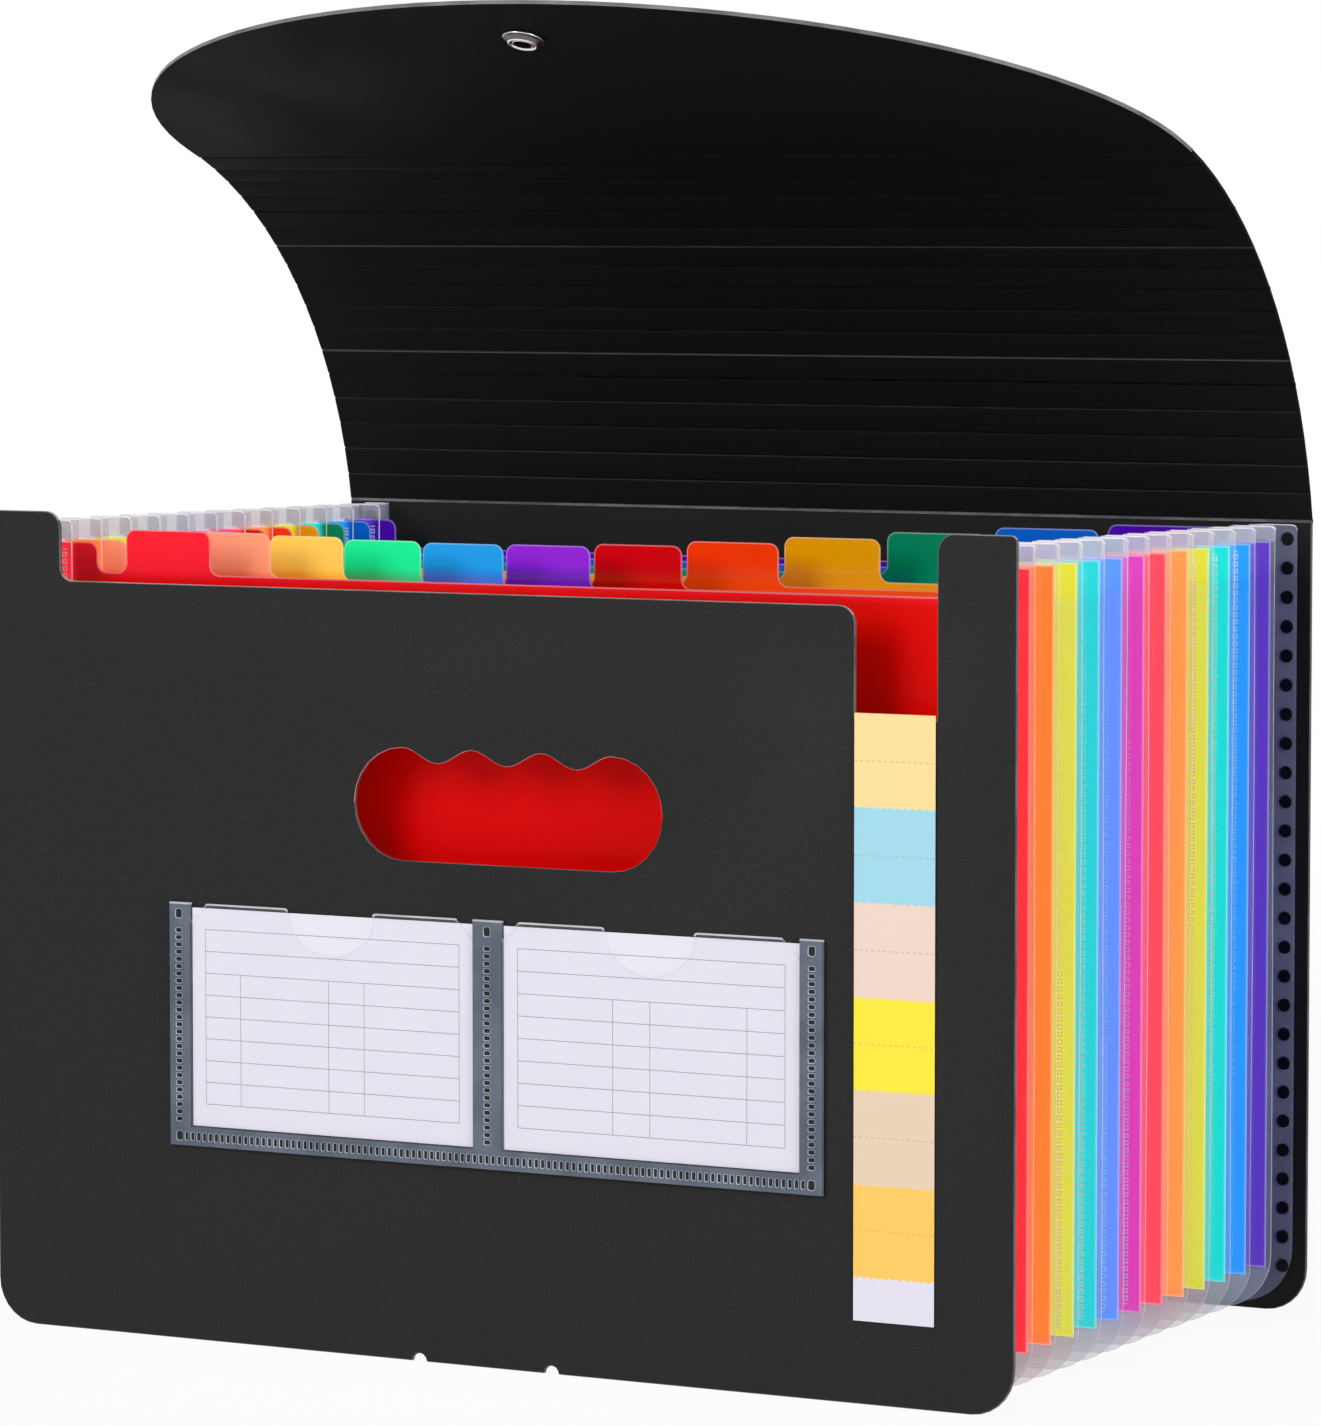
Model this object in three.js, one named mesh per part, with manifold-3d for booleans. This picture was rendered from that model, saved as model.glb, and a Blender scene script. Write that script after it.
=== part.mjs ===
// Expanding file folder: two stiff covers joined by pleated film gussets, with tabbed dividers between
// them, a scored flap that grows out of the back cover, and a card pocket on the front cover.
// Millimetres, +Z up. X runs across the folder. The back cover stands in the plane Y = 0 and the front
// cover stands before it, at negative Y. The floor is Z = 0.

import * as THREE from 'three';
import { mergeVertices } from 'three/addons/utils/BufferGeometryUtils.js';
import Module from 'manifold-3d';

// Covers
const coverWidth = 330;
const sheetThickness = 1.2;
const folderDepth = 198; // between the middles of the two covers, with the folder drawn right out
const frontHeight = 238;
const backHeight = 234; // floor to crease
const footRadius = 13;
const footNickRadius = 2.3;
const footNickSpacing = 43;

// Front cover's top edge: ear, low edge, slot, column
const earWidth = 23;
const columnWidth = 23.7;
const notchDepth = 20;
const slotWidth = 24.9;
const slotDepth = 50.5;
const earRadius = 5;
const outerEarRadius = 2;
const notchFillet = 4;

// Handle hole
const handleWidth = 99.4;
const handleHeight = 32;
const handleFloor = 142;
const handleOffset = 7.2;
const fingerCount = 4;
const fingerDepth = 4.2;

// Dividers
const dividerCount = 12;
const dividerThickness = 0.3;
const dividerTop = 220.2;
const dividerFoot = 15;
const marginTop = 228.5;
const marginReach = 139.5; // from the folder's middle to the inner edge of each side margin
const tabTop = 232.8;
const stackSag = 6; // halfway through the stack the dividers' tops and tabs stand this much lower
const firstTabCentre = -115;
const firstTabStep = 13.2;
const tabStepGrowth = 1.7; // each step along the row is this much longer than the last
const frontTabWidth = 29; // of the first divider
const nextTabWidth = 24; // of the second one
const tabWidthGrowth = 1.1;
const tabRadius = 3;

// Gusset film
const filmThickness = 0.3;
const filmSetback = 1.5; // from the covers' side edges to the film, at the front cover
const filmTaper = 3.5; // the film stands this much further in at the back cover
const filmFloor = 2.5;
const filmTop = 233; // at the back cover
const filmTopRise = 2; // the film's top stands this much higher at the front cover
const filmCornerRadius = 16.5;
const pleatDepth = 12;
const weldWidth = 15; // film lying on each divider, inward of the ridge
const dividerInset = 1.9; // a divider's edge stops this far inward of the ridge
const coverWeldWidth = 9.8; // film lying on each cover, outward of its fold
const coverWeldMargin = 4.4; // from a cover's side edge to the film on it

// Flap
const scorePitch = 8.5;
const panelStrips = [5, 4, 4, 4]; // strips between score lines in each stiff panel
const firstLean = 11.5; // degrees forward of upright, at the crease
const tongueLean = 70;
const scoreWidth = 0.8;
const scoreDepth = 0.35;
const creaseTurn = 62; // largest bend, in degrees, at the crease and at the lines between panels
const panelTurn = 48;
const foldClearance = 0.1;
const tongueLength = 119;
const tongueShoulder = 6;

// Press fastener
const snapInset = 25; // from the tongue's tip
const snapRadius = 6;
const snapCrownRadius = 4.2; // flat middle of the cap
const snapPostRadius = 2;
const snapCapHeight = 1.4;
const snapSocketHeight = 2.2;
const snapLipRadius = 4.4;

// Card pocket and cards
const pocketSlotGap = 9; // between the pocket's right edge and the line of the slot
const pocketFloor = 56.5;
const pocketHeight = 70.2;
const pocketFilm = 0.4;
const weldStripSide = 7;
const weldStripMiddle = 9.4;
const weldStripFloor = 5.5;
const cardWidth = 93.4;
const cardHeight = 63;
const cardThickness = 0.4;
const cardClearance = 0.3;
const pocketDip = 5.5; // the clear sheet slopes down this far beside each upright weld
const lipRadius = 1;
const thumbRadius = 14.3;
const thumbDepth = 13;

// Label sheet
const labelLength = 166;
const labelThickness = 0.3;
const labelLap = 1.5; // how far the sheet's top covers the slot's floor
const labelSideClearance = 0.2;

const seatGap = 0.3; // between pieces that lie on each other
const arcSteps = 6; // in a quarter turn of a corner
const cornerShare = 0.49; // of its shorter edge, the most that a rounded corner takes
const leastCorner = 0.01; // a corner that would be rounded by less stays sharp
const mergeDistance = 1e-4;

const wasm = await Module();
wasm.setup();

const halfWidth = coverWidth / 2;
const frontFace = -folderDepth - sheetThickness / 2;
const radians = THREE.MathUtils.degToRad;

function finish(color, roughness, metalness = 0, opacity = 1) {
  return new THREE.MeshStandardMaterial({ color, roughness, metalness, opacity, transparent: opacity < 1 });
}

// Closed outline through corners [x, y, radius], each rounded by an arc that touches both its edges.
function roundedPoints(corners) {
  const points = [];
  corners.forEach(([x, y, radius = 0], i) => {
    const corner = new THREE.Vector2(x, y);
    const before = corners.at(i - 1);
    const after = corners[(i + 1) % corners.length];
    const toBefore = new THREE.Vector2(before[0] - x, before[1] - y);
    const toAfter = new THREE.Vector2(after[0] - x, after[1] - y);
    const room = Math.min(toBefore.length(), toAfter.length());
    toBefore.normalize();
    toAfter.normalize();
    const opening = Math.acos(THREE.MathUtils.clamp(toBefore.dot(toAfter), -1, 1));
    const reach = Math.min(radius / Math.tan(opening / 2), room * cornerShare);
    if (reach < leastCorner) {
      points.push(corner);
      return;
    }
    const bend = reach * Math.tan(opening / 2);
    const middle = toBefore.clone().add(toAfter).normalize();
    const centre = corner.clone().addScaledVector(middle, bend / Math.sin(opening / 2));
    const start = corner.clone().addScaledVector(toBefore, reach).sub(centre);
    const end = corner.clone().addScaledVector(toAfter, reach).sub(centre);
    const turn = Math.atan2(start.cross(end), start.dot(end));
    const steps = Math.max(2, Math.ceil((arcSteps * Math.abs(turn)) / (Math.PI / 2)));
    for (let k = 0; k <= steps; k += 1) {
      points.push(start.clone().rotateAround(new THREE.Vector2(), (turn * k) / steps).add(centre));
    }
  });
  return points;
}

// Flat sheet standing across the folder: outline in X and Z, its front face at the given Y.
function standingSheet(outline, thickness, frontY, holes = []) {
  const shape = new THREE.Shape(outline);
  shape.holes = holes.map((hole) => new THREE.Path(hole));
  const geometry = new THREE.ExtrudeGeometry(shape, { depth: thickness, bevelEnabled: false });
  geometry.rotateX(Math.PI / 2);
  geometry.translate(0, frontY + thickness, 0);
  return geometry;
}

function piece(name, geometry, material) {
  const mesh = new THREE.Mesh(geometry, material);
  mesh.name = name;
  return mesh;
}

function toSolid(geometry) {
  const bare = geometry.index ? geometry.toNonIndexed() : geometry.clone();
  bare.deleteAttribute('normal');
  bare.deleteAttribute('uv');
  const merged = mergeVertices(bare, mergeDistance);
  return new wasm.Manifold(new wasm.Mesh({
    numProp: 3,
    vertProperties: Float32Array.from(merged.attributes.position.array),
    triVerts: Uint32Array.from(merged.index.array),
  }));
}

function toGeometry(solid) {
  const { vertProperties, triVerts } = solid.getMesh();
  const geometry = new THREE.BufferGeometry();
  geometry.setAttribute('position', new THREE.BufferAttribute(Float32Array.from(vertProperties), 3));
  geometry.setIndex(new THREE.BufferAttribute(Uint32Array.from(triVerts), 1));
  return geometry;
}

// Covers

const charcoal = () => finish(0x2e2e2e, 0.55);
const creaseGap = (sheetThickness / 2) * Math.tan(radians(creaseTurn / 2)) + foldClearance;
const panelGap = (sheetThickness / 2) * Math.tan(radians(panelTurn / 2)) + foldClearance;

function makeBackCover() {
  const top = backHeight - creaseGap;
  const outline = roundedPoints([
    [-halfWidth, 0, footRadius],
    [halfWidth, 0, footRadius],
    [halfWidth, top],
    [-halfWidth, top],
  ]);
  return piece('back_cover', standingSheet(outline, sheetThickness, -sheetThickness / 2), charcoal());
}

const slotRight = halfWidth - columnWidth;
const slotLeft = slotRight - slotWidth;
const slotFloor = frontHeight - slotDepth;

function handleOutline() {
  const end = handleHeight / 2;
  const left = handleOffset - handleWidth / 2 + end;
  const right = handleOffset + handleWidth / 2 - end;
  const middle = handleFloor + end;
  const points = [];
  const endSteps = 2 * arcSteps;
  for (let k = 0; k <= endSteps; k += 1) {
    const angle = -Math.PI / 2 + (Math.PI * k) / endSteps;
    points.push(new THREE.Vector2(right + end * Math.cos(angle), middle + end * Math.sin(angle)));
  }
  const waveSteps = 2 * arcSteps * (fingerCount - 1);
  for (let k = 1; k < waveSteps; k += 1) {
    const share = k / waveSteps;
    const wave = (1 - Math.cos(2 * Math.PI * (fingerCount - 1) * share)) / 2;
    points.push(new THREE.Vector2(right + (left - right) * share, middle + end - fingerDepth * wave));
  }
  for (let k = 0; k <= endSteps; k += 1) {
    const angle = Math.PI / 2 + (Math.PI * k) / endSteps;
    points.push(new THREE.Vector2(left + end * Math.cos(angle), middle + end * Math.sin(angle)));
  }
  return points;
}

function makeFrontCover() {
  const notchFloor = frontHeight - notchDepth;
  const nick = (centre) => {
    const points = [];
    for (let k = 0; k <= arcSteps; k += 1) {
      const angle = Math.PI - (Math.PI * k) / arcSteps;
      points.push([centre + footNickRadius * Math.cos(angle), footNickRadius * Math.sin(angle)]);
    }
    return points;
  };
  const outline = roundedPoints([
    [-halfWidth, 0, footRadius],
    ...nick(-footNickSpacing / 2),
    ...nick(footNickSpacing / 2),
    [halfWidth, 0, footRadius],
    [halfWidth, frontHeight, outerEarRadius],
    [slotRight, frontHeight, earRadius],
    [slotRight, slotFloor],
    [slotLeft, slotFloor],
    [slotLeft, notchFloor, earRadius],
    [-halfWidth + earWidth, notchFloor, notchFillet],
    [-halfWidth + earWidth, frontHeight, earRadius],
    [-halfWidth, frontHeight, outerEarRadius],
  ]);
  const geometry = standingSheet(outline, sheetThickness, frontFace, [handleOutline()]);
  return piece('front_cover', geometry, charcoal());
}

// Dividers

const filmHalfWidth = halfWidth - filmSetback;
const filmDrift = (y) => (filmTaper * (y + folderDepth)) / folderDepth;
const dividerPitch = folderDepth / (dividerCount + 1);
const dividerY = (number) => -folderDepth + number * dividerPitch;
const dividerColours = [0xf01428, 0xff7a30, 0xf0c818, 0x12c8a8, 0x2a86f0, 0x8a2fc8];

function dividerOutline(number) {
  const side = filmHalfWidth - filmDrift(dividerY(number)) - dividerInset;
  const sag = stackSag * Math.sin((Math.PI * number) / (dividerCount + 1)) ** 2;
  const top = dividerTop - sag;
  const tabEnd = tabTop - sag;
  const step = number - 1;
  const centre = firstTabCentre + firstTabStep * step + (tabStepGrowth * step * (step - 1)) / 2;
  const width = number === 1 ? frontTabWidth : nextTabWidth + tabWidthGrowth * (number - 2);
  const tabLeft = centre - width / 2;
  const tabRight = centre + width / 2;
  const corners = [[-side, dividerFoot], [side, dividerFoot], [side, marginTop]];
  const narrowest = 2 * tabRadius;
  if (marginReach - tabRight > narrowest) {
    corners.push([marginReach, marginTop, tabRadius], [marginReach, top, tabRadius]);
    corners.push([tabRight, top, tabRadius]);
  } else {
    corners.push([tabRight, marginTop, tabRadius]);
  }
  corners.push([tabRight, tabEnd, tabRadius], [tabLeft, tabEnd, tabRadius]);
  if (tabLeft + marginReach > narrowest) {
    corners.push([tabLeft, top, tabRadius]);
    corners.push([-marginReach, top, tabRadius], [-marginReach, marginTop, tabRadius]);
  } else {
    corners.push([tabLeft, marginTop, tabRadius]);
  }
  corners.push([-side, marginTop]);
  return roundedPoints(corners);
}

function makeDivider(number) {
  const frontY = dividerY(number) - dividerThickness / 2;
  const geometry = standingSheet(dividerOutline(number), dividerThickness, frontY);
  const colour = dividerColours[(number - 1) % dividerColours.length];
  return piece(`divider_${String(number).padStart(2, '0')}`, geometry, finish(colour, 0.3, 0, 0.85));
}

// Gussets: a folded strip of film swept round the left side, the bottom and the right side.
// A section point is [n, y]: n is the distance inward from the ridge, y runs with the folder's depth.
// On the two sides the ridges drift inward from the front cover to the back cover, and their tops fall.

// Where two lines in the section meet, each given by a point and a direction.
function meet(a, along, b, across) {
  const cross = along.cross(across);
  const share = b.clone().sub(a).cross(across) / cross;
  return a.clone().addScaledVector(along, share);
}

// One half of a gusset's section, from the film's free edge to the valley of the pleat.
// seat is the Y of the face that the film lies on, and toValley is +1 or -1, towards the valley.
function gussetHalf(seat, toValley, valley, onCover) {
  const far = seat + toValley * filmThickness;
  const coverEdge = coverWeldMargin - filmSetback - filmDrift(seat);
  const fold = onCover ? coverEdge + coverWeldWidth : 0;
  const start = new THREE.Vector2(fold, seat + (toValley * filmThickness) / 2);
  const along = valley.clone().sub(start).normalize();
  const outward = new THREE.Vector2(-along.y, along.x).multiplyScalar((toValley * filmThickness) / 2);
  const outerLine = start.clone().add(outward);
  const innerLine = start.clone().sub(outward);
  const inward = new THREE.Vector2(1, 0);
  const depthwise = new THREE.Vector2(0, 1);
  const onFar = new THREE.Vector2(0, far);
  const onSeat = new THREE.Vector2(0, seat);
  if (onCover) {
    return {
      along, outerLine, innerLine,
      outer: [new THREE.Vector2(coverEdge, far), meet(outerLine, along, onFar, inward)],
      inner: [new THREE.Vector2(coverEdge, seat), meet(innerLine, along, onSeat, inward)],
    };
  }
  return {
    along, outerLine, innerLine,
    outer: [new THREE.Vector2(weldWidth, seat), onSeat, meet(outerLine, along, onSeat, depthwise)],
    inner: [new THREE.Vector2(weldWidth, far), meet(innerLine, along, onFar, inward)],
  };
}

function gussetSection(frontSeat, backSeat, frontOnCover, backOnCover) {
  const valley = new THREE.Vector2(pleatDepth, (frontSeat + backSeat) / 2);
  const front = gussetHalf(frontSeat, 1, valley, frontOnCover);
  const back = gussetHalf(backSeat, -1, valley, backOnCover);
  const outerValley = meet(front.outerLine, front.along, back.outerLine, back.along);
  const innerValley = meet(front.innerLine, front.along, back.innerLine, back.along);
  return [
    ...front.outer, outerValley, ...back.outer.toReversed(),
    ...back.inner, innerValley, ...front.inner.toReversed(),
  ];
}

// Points of the ridge line in X and Z from the left top round the bottom to the right top,
// each with the direction that points into the folder and how far it rises towards the front cover.
function gussetPath() {
  const stations = [];
  const bendX = filmHalfWidth - filmCornerRadius;
  const bendZ = filmFloor + filmCornerRadius;
  stations.push({ x: -filmHalfWidth, z: filmTop, nx: 1, nz: 0, rise: filmTopRise });
  [[-bendX, Math.PI], [bendX, 1.5 * Math.PI]].forEach(([centre, from]) => {
    for (let k = 0; k <= arcSteps; k += 1) {
      const angle = from + (Math.PI / 2) * (k / arcSteps);
      const nx = -Math.cos(angle);
      const nz = -Math.sin(angle);
      stations.push({ x: centre - filmCornerRadius * nx, z: bendZ - filmCornerRadius * nz, nx, nz, rise: 0 });
    }
  });
  stations.push({ x: filmHalfWidth, z: filmTop, nx: -1, nz: 0, rise: filmTopRise });
  return stations;
}

function sweepSection(section, path) {
  const outline = THREE.ShapeUtils.isClockWise(section) ? section.toReversed() : section;
  const count = outline.length;
  const positions = path.flatMap(({ x, z, nx, nz, rise }) => outline.flatMap(({ x: n, y }) => (
    [x + nx * n - Math.sign(x) * filmDrift(y), y, z + nz * n - (rise * y) / folderDepth]
  )));
  const index = [];
  for (let ring = 0; ring + 1 < path.length; ring += 1) {
    for (let k = 0; k < count; k += 1) {
      const a = ring * count + k;
      const b = ring * count + ((k + 1) % count);
      index.push(a, a + count, b, b, a + count, b + count);
    }
  }
  const last = (path.length - 1) * count;
  THREE.ShapeUtils.triangulateShape(outline, []).forEach(([a, b, c]) => {
    index.push(a, b, c, last + a, last + c, last + b);
  });
  const geometry = new THREE.BufferGeometry();
  geometry.setAttribute('position', new THREE.Float32BufferAttribute(positions, 3));
  geometry.setIndex(index);
  return geometry;
}

// Gusset 1 lies between the front cover and the first divider, and the last one meets the back cover.
function makeGusset(number) {
  const first = number === 1;
  const last = number === dividerCount + 1;
  const frontSheet = first ? sheetThickness : dividerThickness;
  const backSheet = last ? sheetThickness : dividerThickness;
  const frontSeat = dividerY(number - 1) + frontSheet / 2 + seatGap;
  const backSeat = dividerY(number) - backSheet / 2 - seatGap;
  const section = gussetSection(frontSeat, backSeat, first, last);
  const name = `gusset_${String(number).padStart(2, '0')}`;
  return piece(name, sweepSection(section, gussetPath()), finish(0xe4e6f0, 0.35, 0, 0.3));
}

// Flap: strips between score lines, each leaning a little further forward than the one below it.

const stripCount = panelStrips.reduce((sum, strips) => sum + strips, 0);
const leanStep = (tongueLean - firstLean) / stripCount;
const stripLean = (strip) => radians(firstLean + leanStep * (strip - 1));
const upStrip = (lean) => new THREE.Vector2(-Math.sin(lean), Math.cos(lean));
const outOfStrip = (lean) => new THREE.Vector2(Math.cos(lean), Math.sin(lean));

// Score lines in Y and Z, from the crease to the foot of the tongue, in the middle of the sheet.
const scoreLines = [new THREE.Vector2(0, backHeight)];
for (let strip = 1; strip <= stripCount; strip += 1) {
  scoreLines.push(scoreLines.at(-1).clone().addScaledVector(upStrip(stripLean(strip)), scorePitch));
}

// Profile of a panel in Y and Z: the outer face, then the inner face with a groove at each score line.
function panelProfile(firstStrip, lastStrip) {
  const half = sheetThickness / 2;
  const edge = (strip, line, shift, side) => scoreLines[line].clone()
    .addScaledVector(upStrip(stripLean(strip)), shift)
    .addScaledVector(outOfStrip(stripLean(strip)), side * half);
  const mitre = (line, offset) => {
    const lean = (stripLean(line) + stripLean(line + 1)) / 2;
    const reach = offset / Math.cos(radians(leanStep / 2));
    return scoreLines[line].clone().addScaledVector(outOfStrip(lean), reach);
  };
  const lower = firstStrip === 1 ? creaseGap : panelGap;
  const outer = [edge(firstStrip, firstStrip - 1, lower, 1)];
  const inner = [edge(firstStrip, firstStrip - 1, lower, -1)];
  for (let line = firstStrip; line < lastStrip; line += 1) {
    outer.push(mitre(line, half));
    inner.push(edge(line, line, -scoreWidth / 2, -1));
    inner.push(mitre(line, scoreDepth - half));
    inner.push(edge(line + 1, line, scoreWidth / 2, -1));
  }
  outer.push(edge(lastStrip, lastStrip, -panelGap, 1));
  inner.push(edge(lastStrip, lastStrip, -panelGap, -1));
  return [...outer, ...inner.toReversed()];
}

const flapBlack = () => finish(0x141414, 0.5);

function makeFlapPanels() {
  let firstStrip = 1;
  return panelStrips.map((strips, i) => {
    const shape = new THREE.Shape(panelProfile(firstStrip, firstStrip + strips - 1));
    firstStrip += strips;
    const geometry = new THREE.ExtrudeGeometry(shape, { depth: coverWidth, bevelEnabled: false });
    geometry.translate(0, 0, -halfWidth);
    const acrossFolder = new THREE.Matrix4().makeBasis(
      new THREE.Vector3(0, 1, 0), new THREE.Vector3(0, 0, 1), new THREE.Vector3(1, 0, 0),
    );
    geometry.applyMatrix4(acrossFolder);
    return piece(`flap_panel_${i + 1}`, geometry, flapBlack());
  });
}

// The tongue and its fastener share a group whose X runs across the folder, whose Y runs up the tongue
// from its foot, and whose Z points out of the tongue's inner face.
const snapHoleRadius = snapPostRadius + seatGap;
const snapPlace = tongueLength - snapInset;

function makeTongue() {
  const outline = [new THREE.Vector2(-halfWidth, panelGap), new THREE.Vector2(halfWidth, panelGap)];
  const steps = 8 * arcSteps;
  for (let k = 0; k <= steps; k += 1) {
    const angle = (Math.PI * k) / steps;
    const rise = (tongueLength - tongueShoulder) * Math.sin(angle);
    outline.push(new THREE.Vector2(halfWidth * Math.cos(angle), tongueShoulder + rise));
  }
  const shape = new THREE.Shape(outline);
  const hole = new THREE.Path().absarc(0, snapPlace, snapHoleRadius, 0, 2 * Math.PI);
  shape.holes = [hole];
  const settings = { depth: sheetThickness, bevelEnabled: false, curveSegments: 4 * arcSteps };
  const geometry = new THREE.ExtrudeGeometry(shape, settings);
  geometry.translate(0, 0, -sheetThickness / 2);
  return piece('flap_tongue', geometry, flapBlack());
}

// Turned piece about the fastener's own axis: profile points are [radius, height].
function turned(name, profile) {
  const points = profile.map(([radius, height]) => new THREE.Vector2(radius, height));
  const geometry = new THREE.LatheGeometry(points, 4 * arcSteps);
  geometry.rotateX(Math.PI / 2);
  geometry.translate(0, snapPlace, 0);
  return piece(name, geometry, finish(0xc8c8cc, 0.25, 1));
}

function makeSnap() {
  const inner = sheetThickness / 2 + seatGap;
  const outer = -inner;
  const postTop = inner + snapSocketHeight / 2;
  const rim = snapSocketHeight / 4;
  const capEdge = snapCapHeight / 2;
  const cap = turned('snap_cap', [
    [0, outer - snapCapHeight],
    [snapCrownRadius, outer - snapCapHeight],
    [snapRadius, outer - capEdge],
    [snapRadius, outer],
    [snapPostRadius, outer],
    [snapPostRadius, postTop],
    [0, postTop],
  ]);
  const socket = turned('snap_socket', [
    [snapHoleRadius, inner],
    [snapRadius, inner],
    [snapRadius, inner + rim],
    [snapLipRadius, inner + rim],
    [snapLipRadius, inner + snapSocketHeight],
    [snapHoleRadius, inner + snapSocketHeight],
    [snapHoleRadius, inner],
  ]);
  return [cap, socket];
}

function makeTongueGroup() {
  const group = new THREE.Group();
  const foot = scoreLines.at(-1);
  const lean = stripLean(stripCount + 1);
  const up = upStrip(lean);
  const out = outOfStrip(lean);
  const placing = new THREE.Matrix4().makeBasis(
    new THREE.Vector3(1, 0, 0), new THREE.Vector3(0, up.x, up.y), new THREE.Vector3(0, -out.x, -out.y),
  );
  placing.setPosition(0, foot.x, foot.y);
  group.applyMatrix4(placing);
  group.add(makeTongue(), ...makeSnap());
  return group;
}

// Card pocket: a clear sheet held off the front cover by the welded strips, with a card in each half.

const cardRoom = cardThickness + 2 * cardClearance;
const cellWidth = cardWidth + 2 * cardClearance;
const pocketRight = slotLeft - pocketSlotGap;
const pocketLeft = pocketRight - 2 * (weldStripSide + cellWidth) - weldStripMiddle;
const cellLefts = [pocketLeft + weldStripSide, pocketRight - weldStripSide - cellWidth];
const pocketTop = pocketFloor + pocketHeight;

// The pocket's top edge, right to left: over each cell a lip with sloped ends and a thumb cut between.
function pocketLip() {
  const corners = [];
  cellLefts.toReversed().forEach((left) => {
    const right = left + cellWidth;
    const centre = left + cellWidth / 2;
    corners.push([right, pocketTop], [right, pocketTop - pocketDip]);
    corners.push([right - pocketDip, pocketTop, lipRadius], [centre + thumbRadius, pocketTop, lipRadius]);
    for (let k = 1; k < 2 * arcSteps; k += 1) {
      const angle = (Math.PI * k) / (2 * arcSteps);
      corners.push([centre + thumbRadius * Math.cos(angle), pocketTop - thumbDepth * Math.sin(angle)]);
    }
    corners.push([centre - thumbRadius, pocketTop, lipRadius], [left + pocketDip, pocketTop, lipRadius]);
    corners.push([left, pocketTop - pocketDip], [left, pocketTop]);
  });
  return corners;
}

function makeCardPocket() {
  const sheetBack = frontFace - cardRoom;
  const sheet = standingSheet(roundedPoints([
    [pocketLeft, pocketFloor],
    [pocketRight, pocketFloor],
    [pocketRight, pocketTop],
    ...pocketLip(),
    [pocketLeft, pocketTop],
  ]), pocketFilm, sheetBack - pocketFilm);
  const cellFloor = pocketFloor + weldStripFloor;
  const welds = standingSheet(roundedPoints([
    [pocketLeft, pocketFloor],
    [pocketRight, pocketFloor],
    [pocketRight, pocketTop],
    ...cellLefts.toReversed().flatMap((left) => [
      [left + cellWidth, pocketTop],
      [left + cellWidth, cellFloor],
      [left, cellFloor],
      [left, pocketTop],
    ]),
    [pocketLeft, pocketTop],
  ]), cardRoom - seatGap + pocketFilm / 2, sheetBack - pocketFilm / 2);
  const solid = toSolid(sheet).add(toSolid(welds));
  return piece('card_pocket', toGeometry(solid), finish(0xb8c0cc, 0.3, 0, 0.35));
}

function makeCard(name, cellLeft) {
  const left = cellLeft + cardClearance;
  const floor = pocketFloor + weldStripFloor + cardClearance;
  const outline = roundedPoints([
    [left, floor],
    [left + cardWidth, floor],
    [left + cardWidth, floor + cardHeight],
    [left, floor + cardHeight],
  ]);
  const frontY = frontFace - cardClearance - cardThickness;
  return piece(name, standingSheet(outline, cardThickness, frontY), finish(0xf0eef6, 0.8));
}

function makeLabelSheet() {
  const top = slotFloor + labelLap;
  const outline = roundedPoints([
    [slotLeft + labelSideClearance, top - labelLength],
    [slotRight - labelSideClearance, top - labelLength],
    [slotRight - labelSideClearance, top],
    [slotLeft + labelSideClearance, top],
  ]);
  const frontY = frontFace - seatGap - labelThickness;
  return piece('label_sheet', standingSheet(outline, labelThickness, frontY), finish(0xf2d9a0, 0.85));
}

const folder = new THREE.Group();
folder.add(makeBackCover(), makeFrontCover());
for (let number = 1; number <= dividerCount; number += 1) {
  folder.add(makeDivider(number));
}
for (let number = 1; number <= dividerCount + 1; number += 1) {
  folder.add(makeGusset(number));
}
folder.add(...makeFlapPanels(), makeTongueGroup());
folder.add(makeCardPocket(), makeLabelSheet());
folder.add(makeCard('card_left', cellLefts[0]), makeCard('card_right', cellLefts[1]));

export default folder;
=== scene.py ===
"""Looks of an expanding file folder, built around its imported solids. Metres, Z up, front towards -Y."""

import logging
import math
from collections.abc import Callable, Iterable
from dataclasses import dataclass, field
from enum import IntEnum
from typing import Any

import bmesh
import bpy
from mathutils import Matrix, Vector


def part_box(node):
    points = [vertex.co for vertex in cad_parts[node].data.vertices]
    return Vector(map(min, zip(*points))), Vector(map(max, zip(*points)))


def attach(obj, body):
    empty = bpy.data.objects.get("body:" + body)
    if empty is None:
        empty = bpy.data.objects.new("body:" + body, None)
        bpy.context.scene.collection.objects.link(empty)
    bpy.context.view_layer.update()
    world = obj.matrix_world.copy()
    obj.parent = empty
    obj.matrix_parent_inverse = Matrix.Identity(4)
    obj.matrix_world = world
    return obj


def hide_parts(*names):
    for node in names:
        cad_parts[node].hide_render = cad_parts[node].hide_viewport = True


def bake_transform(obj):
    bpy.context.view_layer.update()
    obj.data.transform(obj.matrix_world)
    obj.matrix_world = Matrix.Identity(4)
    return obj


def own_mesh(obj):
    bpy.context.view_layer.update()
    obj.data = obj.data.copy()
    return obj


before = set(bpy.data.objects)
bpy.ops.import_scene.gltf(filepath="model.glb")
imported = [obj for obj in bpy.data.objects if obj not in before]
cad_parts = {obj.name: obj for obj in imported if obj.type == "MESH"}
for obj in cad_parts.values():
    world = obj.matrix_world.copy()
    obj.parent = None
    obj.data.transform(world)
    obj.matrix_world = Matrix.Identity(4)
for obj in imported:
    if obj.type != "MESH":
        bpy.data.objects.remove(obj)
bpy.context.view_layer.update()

log = logging.getLogger("folder")

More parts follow.
